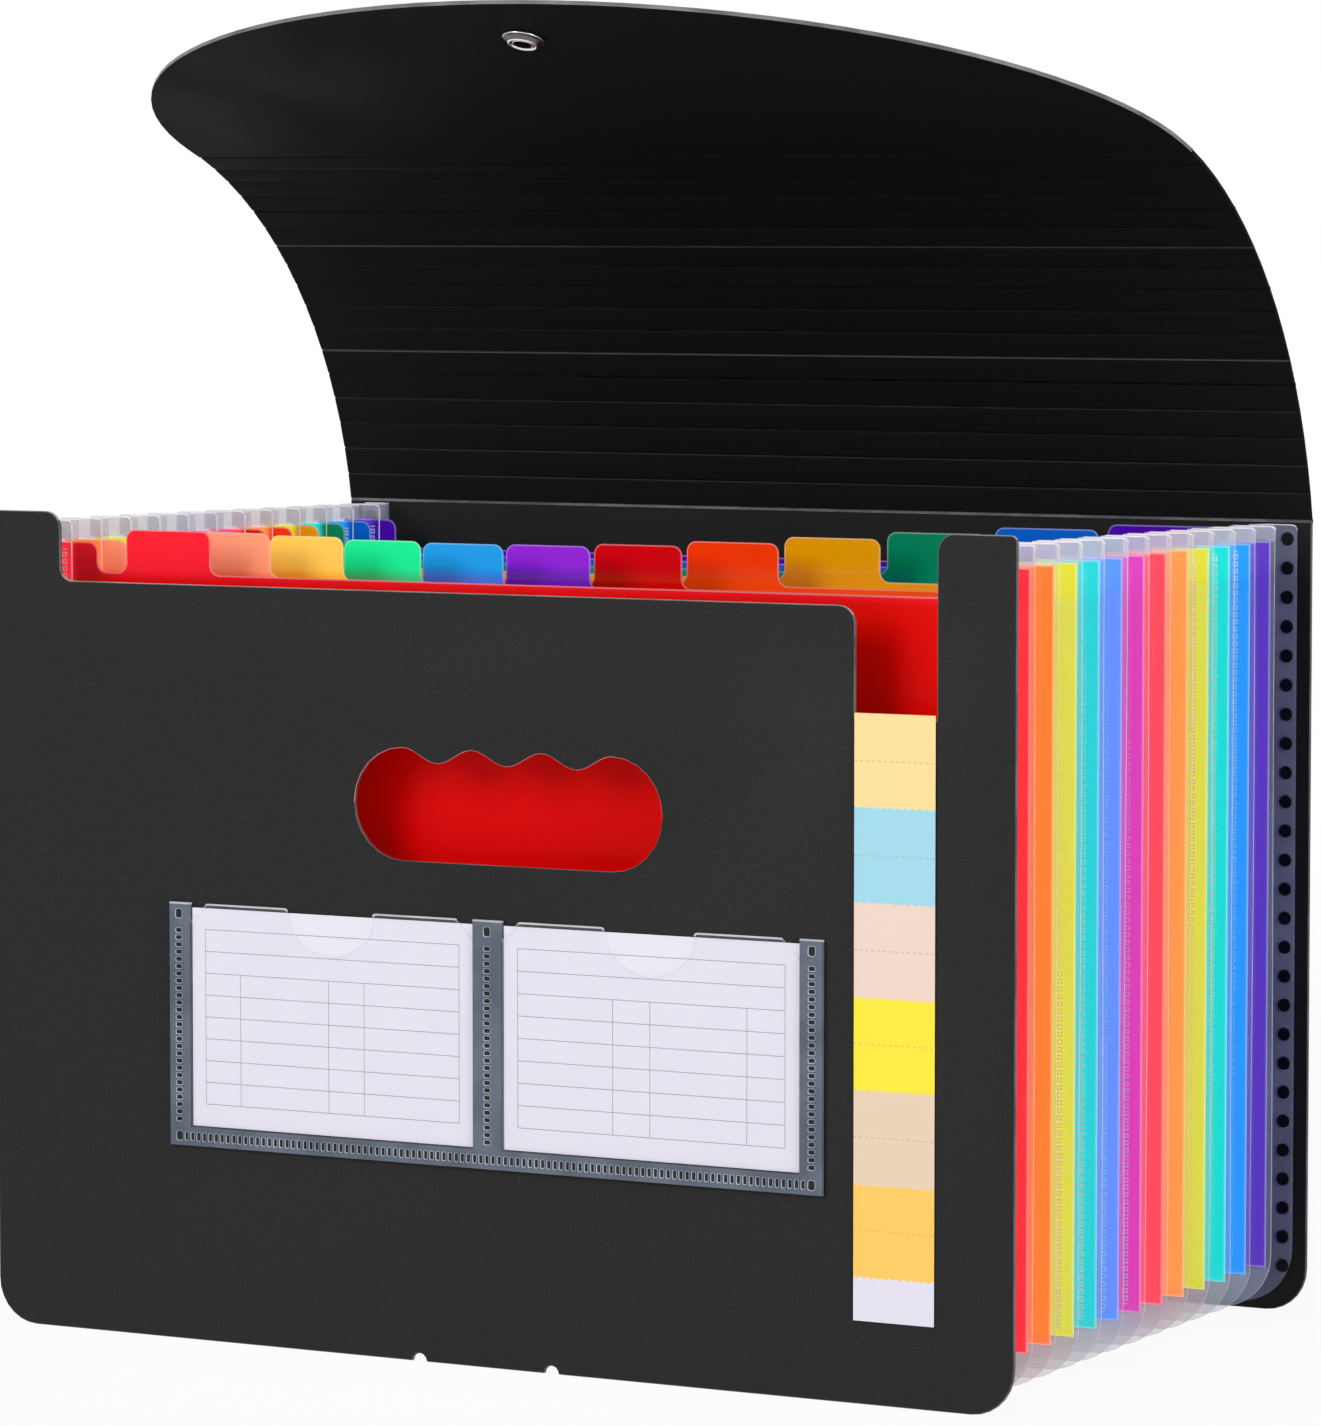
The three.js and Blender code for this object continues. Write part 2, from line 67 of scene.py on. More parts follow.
Colour = tuple[float, float, float, float]
Socket = bpy.types.NodeSocket
Value = Socket | float
Mesh = bmesh.types.BMesh
Face = bmesh.types.BMFace
Edge = bmesh.types.BMEdge
Vert = bmesh.types.BMVert
Material = bpy.types.Material
Piece = bpy.types.Object

MERGE_DISTANCE = 1e-6
FLAT_ANGLE = math.radians(0.5)
RIM_ANGLE = math.radians(40)
SHARP_ANGLE = math.radians(20)

BLACK: Colour = (0.0, 0.0, 0.0, 1.0)
WHITE: Colour = (1.0, 1.0, 1.0, 1.0)

# Share of a normal along an axis past which a face counts as flat, as no cut edge, or as turned that way
FLAT_SHARE = 0.9
EDGE_SHARE = 0.95
STEEP_SHARE = 0.5

# Values that cloudy noise mostly lies between
NOISE_SPAN = (0.3, 0.7)

PAPER_ROUND = 0.00008
FIBRE_DEPTH = 0.00003

# Sizes that several sub-assemblies share
HALF_WIDTH = 0.165
SHEET = 0.0012
DEPTH = 0.198
DIVIDERS = 12
PITCH = DEPTH / (DIVIDERS + 1)
CREASE_HEIGHT = 0.234
RIDGE_X = 0.1635
RIDGE_TAPER = 0.0035


def srgb(red: int, green: int, blue: int) -> Colour:
    """Scene-linear colour of a screen colour.

    Args:
        red: Red, from 0 to 255.
        green: Green, from 0 to 255.
        blue: Blue, from 0 to 255.

    Returns:
        The linear colour with full alpha.
    """
    def linear(level: int) -> float:
        """One channel on the linear scale."""
        share = level / 255
        return share / 12.92 if share <= 0.04045 else ((share + 0.055) / 1.055) ** 2.4

    return linear(red), linear(green), linear(blue), 1.0


def grey(level: int) -> Colour:
    """Scene-linear colour of a screen grey, from 0 to 255."""
    return srgb(level, level, level)


def sheet_y(number: int) -> float:
    """Depth of a sheet: 0 is the front cover, 1 to 12 the dividers and 13 the back cover."""
    return -DEPTH + number * PITCH


def ridge_drift(y: float) -> float:
    """How much further in than at the front cover the film's ridges stand at a depth."""
    return RIDGE_TAPER * (y + DEPTH) / DEPTH


# Meshes


def node_mesh(node: str) -> Mesh:
    """Copy a solid's mesh, with its loose triangles merged and its flat faces joined.

    Args:
        node: Name of the solid.

    Returns:
        A new bmesh in the folder's frame.
    """
    mesh = bmesh.new()
    mesh.from_mesh(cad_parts[node].data)
    bmesh.ops.remove_doubles(mesh, verts=mesh.verts, dist=MERGE_DISTANCE)
    bmesh.ops.dissolve_limit(mesh, angle_limit=FLAT_ANGLE, verts=mesh.verts, edges=mesh.edges)
    mesh.normal_update()
    return mesh


def close_up(mesh: Mesh) -> None:
    """Merge a new shape's doubles and turn its faces outwards."""
    bmesh.ops.remove_doubles(mesh, verts=mesh.verts, dist=MERGE_DISTANCE)
    bmesh.ops.recalc_face_normals(mesh, faces=mesh.faces)


def verts_in(geometry: Iterable[Any]) -> list[Vert]:
    """The vertices among an operator's results."""
    return [item for item in geometry if isinstance(item, Vert)]


def edges_in(geometry: Iterable[Any]) -> list[Edge]:
    """The edges among an operator's results."""
    return [item for item in geometry if isinstance(item, Edge)]


def scatter(mesh: Mesh, faces: list[Face], places: Iterable[Vector]) -> None:
    """Put copies of a small shape at some places, and take the first one away.

    Args:
        mesh: The bmesh to change.
        faces: The shape's faces, about the origin.
        places: Where the copies go.
    """
    verts = list(dict.fromkeys(vert for face in faces for vert in face.verts))
    edges = dict.fromkeys(edge for face in faces for edge in face.edges)
    first = [*verts, *edges, *faces]
    for place in places:
        copy = bmesh.ops.duplicate(mesh, geom=first)["geom"]
        bmesh.ops.translate(mesh, vec=place, verts=verts_in(copy))
    bmesh.ops.delete(mesh, geom=verts, context="VERTS")


def bevel(mesh: Mesh, edges: Iterable[Edge], width: float, segments: int = 2) -> list[Face]:
    """Round some edges.

    Args:
        mesh: The bmesh to change.
        edges: Edges to round.
        width: Width of the rounding on each side.
        segments: Faces across the rounding.

    Returns:
        The new faces.
    """
    made = bmesh.ops.bevel(
        mesh, geom=list(edges), offset=width, offset_type="OFFSET", affect="EDGES",
        segments=segments, profile=0.5, material=-1, clamp_overlap=True,
    )
    mesh.normal_update()
    return made["faces"]


def rim_edges(mesh: Mesh, keep: Callable[[Edge], bool] = lambda edge: True) -> list[Edge]:
    """Edges where a sheet turns sharply from its face to its cut edge, and that pass a test too."""
    return [edge for edge in mesh.edges if edge.calc_face_angle(0) > RIM_ANGLE and keep(edge)]


def paint(faces: Iterable[Face], place: int, test: Callable[[Face], bool] = lambda face: True) -> None:
    """Give faces a material place.

    Args:
        faces: Faces to look at.
        place: The material's number on the piece.
        test: Only faces that pass it are painted.
    """
    for face in faces:
        if test(face):
            face.material_index = place


def make_piece(name: str, mesh: Mesh, materials: list[Material]) -> Piece:
    """Turn a finished bmesh into an object of the scene.

    Args:
        name: Name of the piece.
        mesh: Its bmesh, which is freed.
        materials: Materials in the order of the faces' material places.

    Returns:
        The new object, at the origin.
    """
    data = bpy.data.meshes.new(name)
    mesh.to_mesh(data)
    mesh.free()
    data.polygons.foreach_set("use_smooth", [True] * len(data.polygons))
    data.set_sharp_from_angle(angle=SHARP_ANGLE)
    for material in materials:
        data.materials.append(material)
    piece = bpy.data.objects.new(name, data)
    bpy.context.scene.collection.objects.link(piece)
    log.info("%s: %d faces", name, len(data.polygons))
    return piece


def profile_ring(mesh: Mesh, points: list[Vector], closed: bool = False) -> list[Edge]:
    """String a few points together with edges.

    Args:
        mesh: The bmesh to add to.
        points: The points in order.
        closed: Whether the last point joins the first.

    Returns:
        The edges.
    """
    verts = [mesh.verts.new(point) for point in points]
    pairs = list(zip(verts, verts[1:]))
    if closed:
        pairs.append((verts[-1], verts[0]))
    return [mesh.edges.new(pair) for pair in pairs]


def extrude_ring(mesh: Mesh, edges: list[Edge], step: Vector) -> list[Edge]:
    """Draw a string of edges out by one step.

    Args:
        mesh: The bmesh to change.
        edges: The edges to draw out.
        step: How far and where to.

    Returns:
        The edges at the far side.
    """
    made = bmesh.ops.extrude_edge_only(mesh, edges=edges)["geom"]
    bmesh.ops.translate(mesh, vec=step, verts=verts_in(made))
    return edges_in(made)


# Materials


class Graph:
    """A material's node tree, with short calls for the nodes that the finishes use."""

    def __init__(self, name: str) -> None:
        """Start a material with a plain shader.

        Args:
            name: Name of the material.
        """
        self.material: Material = bpy.data.materials.new(name)
        self.material.use_nodes = True
        self.tree = self.material.node_tree
        self.shader = self.tree.nodes["Principled BSDF"]

    def node(self, kind: str, inputs: dict[Any, Any], **settings: Any) -> bpy.types.Node:
        """Add a node.

        Args:
            kind: Blender's name for the node.
            inputs: Sockets or values for the node's inputs, by name or number.
            **settings: The node's own properties.

        Returns:
            The node.
        """
        node = self.tree.nodes.new(kind)
        for key, value in settings.items():
            setattr(node, key, value)
        for key, value in inputs.items():
            self.feed(node.inputs[key], value)
        return node

    def feed(self, socket: Socket, value: Any) -> None:
        """Link a socket to another one, or set its value.

        Args:
            socket: The socket to feed.
            value: The other socket, or the value.
        """
        if isinstance(value, bpy.types.NodeSocket):
            self.tree.links.new(value, socket)
        else:
            socket.default_value = value

    def surface(self, **inputs: Any) -> None:
        """Feed the shader's inputs, each named with underscores for spaces."""
        for key, value in inputs.items():
            self.feed(self.shader.inputs[key.replace("_", " ")], value)

    def glow(self, colour: Any, strength: Value) -> None:
        """Let the surface shine a little, without being sampled as a lamp."""
        self.material.cycles.emission_sampling = "NONE"
        self.surface(Emission_Color=colour, Emission_Strength=strength)

    def place(self) -> Socket:
        """Object coordinates."""
        return self.node("ShaderNodeTexCoord", {}).outputs["Object"]

    def axes(self) -> tuple[Socket, Socket, Socket]:
        """Object coordinates as X, Y and Z."""
        parts = self.node("ShaderNodeSeparateXYZ", {0: self.place()}).outputs
        return parts[0], parts[1], parts[2]

    def attribute(self, name: str) -> Socket:
        """A number that the mesh carries on its vertices."""
        return self.node("ShaderNodeAttribute", {}, attribute_name=name).outputs["Fac"]

    def math(self, operation: str, *values: Value) -> Socket:
        """The result of a sum, by Blender's name for it."""
        return self.node("ShaderNodeMath", dict(enumerate(values)), operation=operation).outputs[0]

    def noise(self, size: float, detail: float = 2.0) -> Socket:
        """Cloudy noise from 0 to 1, with blots of about one size."""
        inputs = {"Vector": self.place(), "Scale": 1 / size, "Detail": detail}
        return self.node("ShaderNodeTexNoise", inputs).outputs[0]

    def between(self, value: Value, low: float, high: float, start: Value = 0, end: Value = 1) -> Socket:
        """Carry a number from the range low to high over to the range start to end, with soft ends."""
        inputs = {0: value, 1: low, 2: high, 3: start, 4: end}
        return self.node("ShaderNodeMapRange", inputs, interpolation_type="SMOOTHSTEP").outputs[0]

    def uneven(self, noise: Socket, low: float, high: float) -> Socket:
        """A number that noise carries to and fro between two values."""
        return self.between(noise, *NOISE_SPAN, low, high)

    def near(self, value: Value, target: float, reach: float) -> Socket:
        """1 where a number lies within reach of a target, else 0."""
        return self.math("COMPARE", value, target, reach)

    def repeat(self, value: Value, pitch: float) -> Socket:
        """Distance past the nearest multiple of a pitch, from minus to plus half of it."""
        return self.math("WRAP", value, pitch / 2, -pitch / 2)

    def any_of(self, values: list[Socket]) -> Socket:
        """The largest of some numbers.

        Args:
            values: The numbers.

        Returns:
            The largest.
        """
        result = values[0]
        for value in values[1:]:
            result = self.math("MAXIMUM", result, value)
        return result

    def mix(self, factor: Value, first: Any, second: Any) -> Socket:
        """A colour between two colours."""
        node = self.node("ShaderNodeMix", {0: factor, 6: first, 7: second}, data_type="RGBA")
        return node.outputs[2]

    def bands(self, factor: Value, stops: list[tuple[float, Colour]]) -> Socket:
        """Flat bands of colour.

        Args:
            factor: Place along the bands, from 0 to 1.
            stops: Where each band starts, and its colour.

        Returns:
            The colour.
        """
        node = self.node("ShaderNodeValToRGB", {0: factor})
        node.color_ramp.interpolation = "CONSTANT"
        elements = node.color_ramp.elements
        elements.remove(elements[1])
        elements[0].position, elements[0].color = stops[0]
        for position, colour in stops[1:]:
            elements.new(position).color = colour
        return node.outputs[0]

    def bump(self, height: Value, depth: float, strength: float = 1.0) -> Socket:
        """A normal that follows a height."""
        inputs = {"Height": height, "Distance": depth, "Strength": strength}
        return self.node("ShaderNodeBump", inputs).outputs[0]


@dataclass(frozen=True)
class Finish:
    """A finish, which makes its own material."""

    name: str

    def shade(self, graph: Graph) -> None:
        """Feed the shader, each finish in its own way.

        Args:
            graph: The material to add to.
        """
        raise NotImplementedError

    def material(self) -> Material:
        """Make the material.

        Returns:
            The material.
        """
        graph = Graph(self.name)
        self.shade(graph)
        return graph.material


def materials_of(*finishes: Finish) -> list[Material]:
    """Materials of some finishes, in the same order."""
    return [finish.material() for finish in finishes]


@dataclass(frozen=True)
class GrainedPlastic(Finish):
    """Stiff polypropylene sheet with a fine sand grain and a few paler grains."""

    colour: Colour
    fleck: Colour
    roughness: float = 0.55
    specular: float = 0.14
    grain: float = 0.0011
    depth: float = 0.00007
    fleck_share: float = 0.5
    fleck_span: tuple[float, float] = (0.45, 0.75)
    wear_size: float = 0.06
    wear: float = 0.06

    def shade(self, graph: Graph) -> None:
        """Feed the shader.

        Args:
            graph: The material to add to.
        """
        grain = graph.noise(self.grain, detail=3.0)
        flecks = graph.between(graph.noise(self.grain * self.fleck_share), *self.fleck_span)
        wear = graph.noise(self.wear_size)
        graph.surface(
            Base_Color=graph.mix(flecks, self.colour, self.fleck),
            Roughness=graph.uneven(wear, self.roughness - self.wear, self.roughness + self.wear),
            Specular_IOR_Level=self.specular,
            Normal=graph.bump(grain, self.depth),
        )


@dataclass(frozen=True)
class CutEdge(Finish):
    """Plain finish with an uneven tone for cut edges, score lines and weld marks; most uses pick these out
    with painted highlight and painted shade, as noted at each use.
    """

    colour: Colour
    worn: Colour
    roughness: float = 0.4
    specular: float = 0.25
    glow: float = 0.0
    wear_size: float = 0.012
    wear_span: tuple[float, float] = (0.35, 0.65)

    def shade(self, graph: Graph) -> None:
        """Feed the shader.

        Args:
            graph: The material to add to.
        """
        wear = graph.between(graph.noise(self.wear_size, detail=3.0), *self.wear_span)
        graph.glow(self.colour, self.glow)
        graph.surface(
            Base_Color=graph.mix(wear, self.colour, self.worn),
            Roughness=self.roughness,
            Specular_IOR_Level=self.specular,
        )


@dataclass(frozen=True)
class Shades:
    """A divider's colour, as it looks in its sheet, its tab and its side margins. The tab's and the margins'
    shades are partly painted light, standing in for light that comes through the tab and falls on the
    margins.
    """

    sheet: Colour
    tab: Colour
    side: Colour

    def lifted(self, share: float) -> "Shades":
        """Paler shades for the rim, where light leaves the sheet.

        Args:
            share: How far each shade goes towards white.

        Returns:
            The paler shades.
        """
        def pale(colour: Colour) -> Colour:
            """One paler shade."""
            red, green, blue, alpha = (level + (1 - level) * share for level in colour)
            return red, green, blue, alpha

        return Shades(pale(self.sheet), pale(self.tab), pale(self.side))


@dataclass(frozen=True)
class DividerPlastic(Finish):
    """Translucent coloured sheet, with other shades in its tab and its side margins. It glows with painted
    light: faintly in the sheet and tab, and strongly in the side margins, whose base colour is darkened so
    the painted glow sets their brightness.
    """

    shades: Shades
    cover: float
    margin_start: float = 0.146
    margin_end: float = 0.150
    tab_start: float = 0.2165
    tab_end: float = 0.2215
    tab_cover: float = 0.94
    glow: float = 0.1
    side_glow: float = 0.78
    side_share: float = 0.5
    roughness: float = 0.28
    specular: float = 0.06
    duller: float = 0.08
    glossier: float = 0.05
    ripple_size: float = 0.03
    ripple_depth: float = 0.0012
    ripple_strength: float = 0.3

    def shade(self, graph: Graph) -> None:
        """Feed the shader.

        Args:
            graph: The material to add to.
        """
        x, _, z = graph.axes()
        margin = graph.between(graph.math("ABSOLUTE", x), self.margin_start, self.margin_end)
        tab = graph.between(z, self.tab_start, self.tab_end)
        ripple = graph.noise(self.ripple_size)
        shades = self.shades
        colour = graph.mix(margin, graph.mix(tab, shades.sheet, shades.tab), shades.side)
        # Painted light: the glow stands in for light through the translucent plastic, and side_share darkens
        # the margins' base colour so the glow outweighs the lamps there.
        graph.glow(colour, graph.between(margin, 0, 1, self.glow, self.side_glow))
        graph.surface(
            Base_Color=graph.mix(graph.between(margin, 0, 1, 0, 1 - self.side_share), colour, BLACK),
            Roughness=graph.uneven(ripple, self.roughness - self.glossier, self.roughness + self.duller),
            Specular_IOR_Level=self.specular,
            Alpha=graph.between(z, self.tab_start, self.tab_end, self.cover, self.tab_cover),
            Normal=graph.bump(ripple, self.ripple_depth, self.ripple_strength),
        )


@dataclass(frozen=True)
class FrostedFilm(Finish):
    """Thin frosted film, evenly see-through but for a faint cloud."""

    colour: Colour
    cover: float
    roughness: float = 0.3
    cloud: float = 0.2
    cloud_size: float = 0.02
    cloud_span: tuple[float, float] = (0.25, 0.75)
    cloud_depth: float = 0.0008
    cloud_strength: float = 0.3

    def shade(self, graph: Graph) -> None:
        """Feed the shader.

        Args:
            graph: The material to add to.
        """
        cloud = graph.noise(self.cloud_size, detail=3.0)
        low, high = self.cover * (1 - self.cloud), self.cover * (1 + self.cloud)
        graph.surface(
            Base_Color=self.colour,
            Roughness=self.roughness,
            Alpha=graph.between(cloud, *self.cloud_span, low, high),
            Normal=graph.bump(cloud, self.cloud_depth, self.cloud_strength),
        )


@dataclass(frozen=True)
class GussetFilm(Finish):
    """Film that is clear where a divider lies against it, and frosted beyond the divider's edges."""

    colour: Colour = srgb(226, 229, 243)
    left_colour: Colour = srgb(192, 189, 201)
    clear: float = 0.006
    side_frost: float = 0.018
    foot_frost: float = 0.065
    head_frost: float = 0.08
    left_frost: float = 0.14
    middle: float = 0.12
    inset: float = 0.0019
    foot: float = 0.0150
    head: float = 0.2285
    soft: float = 0.0003
    roughness: float = 0.3
    specular: float = 0.08

    def alpha(self, graph: Graph) -> Socket:
        """How much the film covers.

        Args:
            graph: The material to add to.

        Returns:
            The alpha, from clear to frosted.
        """
        x, _, z = graph.axes()
        soft = self.soft
        depth = graph.attribute("film_depth")
        beside = graph.between(depth, self.inset - soft, self.inset + soft, self.side_frost, 0)
        under = graph.between(z, self.foot - soft, self.foot + soft, self.foot_frost, 0)
        frost = graph.between(x, -self.middle, self.middle, self.left_frost, self.head_frost)
        over = graph.between(z, self.head - soft, self.head + soft, 0, frost)
        return graph.math("ADD", graph.any_of([beside, under, over]), self.clear)

    def tint(self, graph: Graph) -> Socket:
        """The film's colour, which is greyer on the left side, away from the light."""
        share = graph.between(graph.axes()[0], -self.middle, self.middle)
        return graph.mix(share, self.left_colour, self.colour)

    def gloss(self, graph: Graph, **inputs: Any) -> None:
        """Give the film its gloss, and the other inputs that its kind has."""
        graph.surface(Roughness=self.roughness, Specular_IOR_Level=self.specular, **inputs)

    def shade(self, graph: Graph) -> None:
        """Feed the shader.

        Args:
            graph: The material to add to.
        """
        self.gloss(graph, Base_Color=self.tint(graph), Alpha=self.alpha(graph))


@dataclass(frozen=True)
class WeldedFilm(GussetFilm):
    """Film that is welded to a divider along two ladders of small squares."""

    mark: Colour = srgb(246, 248, 255)
    mark_cover: float = 0.5
    ladder_depth: float = 0.0064
    inner_ladder_depth: float = 0.0124
    square: float = 0.0015
    pitch: float = 0.0021
    mark_depth: float = 0.0001

    def shade(self, graph: Graph) -> None:
        """Feed the shader.

        Args:
            graph: The material to add to.
        """
        z = graph.axes()[2]
        along = graph.math("ABSOLUTE", graph.repeat(z, self.pitch))
        depth = graph.attribute("film_depth")
        outer = graph.math("ABSOLUTE", graph.math("SUBTRACT", depth, self.ladder_depth))
        inner = graph.math("ABSOLUTE", graph.math("SUBTRACT", depth, self.inner_ladder_depth))
        reach = graph.math("MAXIMUM", along, graph.math("MINIMUM", outer, inner))
        square = graph.math("LESS_THAN", reach, self.square / 2)
        hollow = graph.math("LESS_THAN", reach, self.square / 4)
        upright = graph.near(z, (self.foot + self.head) / 2, (self.head - self.foot) / 2 - self.pitch)
        marked = graph.math("MULTIPLY", graph.math("SUBTRACT", square, hollow), upright)
        # The squares are real weld marks; their pale colour, shown through extra cover scaled by mark_share,
        # is a painted highlight.
        lit = graph.math("MULTIPLY", graph.attribute("mark_share"), self.mark_cover)
        marks = graph.math("MULTIPLY", marked, lit)
        self.gloss(
            graph,
            Base_Color=graph.mix(marked, self.tint(graph), self.mark),
            Alpha=graph.math("ADD", self.alpha(graph), marks),
            Normal=graph.bump(marked, self.mark_depth),
        )


def lay_paper(graph: Graph, colour: Socket, fibre_size: float, roughness: tuple[float, float]) -> None:
    """Feed a shader with a paper's print and its fine fibre.

    Args:
        graph: The material to add to.
        colour: The print.
        fibre_size: Size of the fibre's blots.
        roughness: Lowest and highest roughness.
    """
    fibre = graph.noise(fibre_size, detail=4.0)
    graph.surface(
        Base_Color=colour, Roughness=graph.uneven(fibre, *roughness), Normal=graph.bump(fibre, FIBRE_DEPTH),
    )


@dataclass(frozen=True)
class CardPaper(Finish):
    """Pale card printed with a ruled table of fine lines."""

    left: float
    width: float
    floor: float
    columns: tuple[float, ...]
    colour: Colour = srgb(232, 228, 240)
    ink: Colour = srgb(150, 150, 162)
    rows: int = 8
    row_pitch: float = 0.0063
    table_floor: float = 0.0065
    side_margin: float = 0.0045
    line: float = 0.00022
    head_rows: int = 2
    fibre_size: float = 0.0015
    roughness: tuple[float, float] = (0.7, 0.85)

    def shade(self, graph: Graph) -> None:
        """Feed the shader.

        Args:
            graph: The material to add to.
        """
        x, _, z = graph.axes()
        low = self.floor + self.table_floor
        top = low + self.rows * self.row_pitch
        start = self.left + self.side_margin
        end = self.left + self.width - self.side_margin
        reach = self.line / 2
        in_width = graph.near(x, (start + end) / 2, (end - start) / 2 + reach)
        in_height = graph.near(z, (low + top) / 2, (top - low) / 2 + reach)
        body_top = top - self.head_rows * self.row_pitch
        in_body = graph.near(z, (low + body_top) / 2, (body_top - low) / 2)
        row = graph.near(graph.repeat(graph.math("SUBTRACT", z, low), self.row_pitch), 0, reach)
        uprights = [graph.near(x, start + share * (end - start), reach) for share in self.columns]
        sides = graph.any_of([graph.near(x, start, reach), graph.near(x, end, reach)])
        ruled = graph.any_of([
            graph.math("MULTIPLY", graph.math("MULTIPLY", row, in_width), in_height),
            graph.math("MULTIPLY", graph.any_of(uprights), in_body),
            graph.math("MULTIPLY", sides, in_height),
        ])
        lay_paper(graph, graph.mix(ruled, self.colour, self.ink), self.fibre_size, self.roughness)


@dataclass(frozen=True)
class LabelPaper(Finish):
    """Strip of coloured labels with toothed joins, and a dotted fold across each but the lowest."""

    left: float
    floor: float
    length: float
    joins: tuple[float, ...]
    colours: tuple[Colour, ...]
    tooth: float = 0.0011
    tooth_depth: float = 0.0006
    dot: float = 0.0009
    dot_pitch: float = 0.0018
    dot_line: float = 0.00035
    dot_shade: Colour = srgb(190, 165, 120)
    dot_cover: float = 0.55
    fibre_size: float = 0.002
    roughness: tuple[float, float] = (0.6, 0.75)

    def shade(self, graph: Graph) -> None:
        """Feed the shader.

        Args:
            graph: The material to add to.
        """
        x, _, z = graph.axes()
        teeth = graph.math("PINGPONG", graph.math("SUBTRACT", x, self.left), self.tooth)
        jagged = graph.math("MULTIPLY_ADD", teeth, self.tooth_depth / self.tooth, z)
        starts = (self.floor, *self.joins)
        ends = (*self.joins, self.floor + self.length)
        share = graph.math("DIVIDE", graph.math("SUBTRACT", jagged, self.floor), self.length)
        stops = [((start - self.floor) / self.length, colour) for start, colour in zip(starts, self.colours)]
        bands = graph.bands(share, stops)
        middles = [(start + end) / 2 for start, end in zip(starts[1:], ends[1:])]
        folds = [graph.near(z, middle, self.dot_line / 2) for middle in middles]
        dots = graph.math("LESS_THAN", graph.math("ABSOLUTE", graph.repeat(x, self.dot_pitch)), self.dot / 2)
        dotted = graph.math("MULTIPLY", graph.any_of(folds), dots)
        printed = graph.mix(graph.math("MULTIPLY", dotted, self.dot_cover), bands, self.dot_shade)
        lay_paper(graph, printed, self.fibre_size, self.roughness)


@dataclass(frozen=True)
class BrushedMetal(Finish):
    """Nickel plate with fine wear."""

    colour: Colour
    roughness: float
    wear: float = 0.07
    wear_size: float = 0.0012

    def shade(self, graph: Graph) -> None:
        """Feed the shader.

        Args:
            graph: The material to add to.
        """
        wear = graph.noise(self.wear_size, detail=4.0)
        graph.surface(
            Base_Color=self.colour,
            Metallic=1.0,
            Roughness=graph.uneven(wear, self.roughness - self.wear, self.roughness + self.wear),
        )


# Studio


@dataclass
class Lamp:
    """A square soft box that points at the folder."""

    name: str
    place: tuple[float, float, float]
    size: float
    power: float


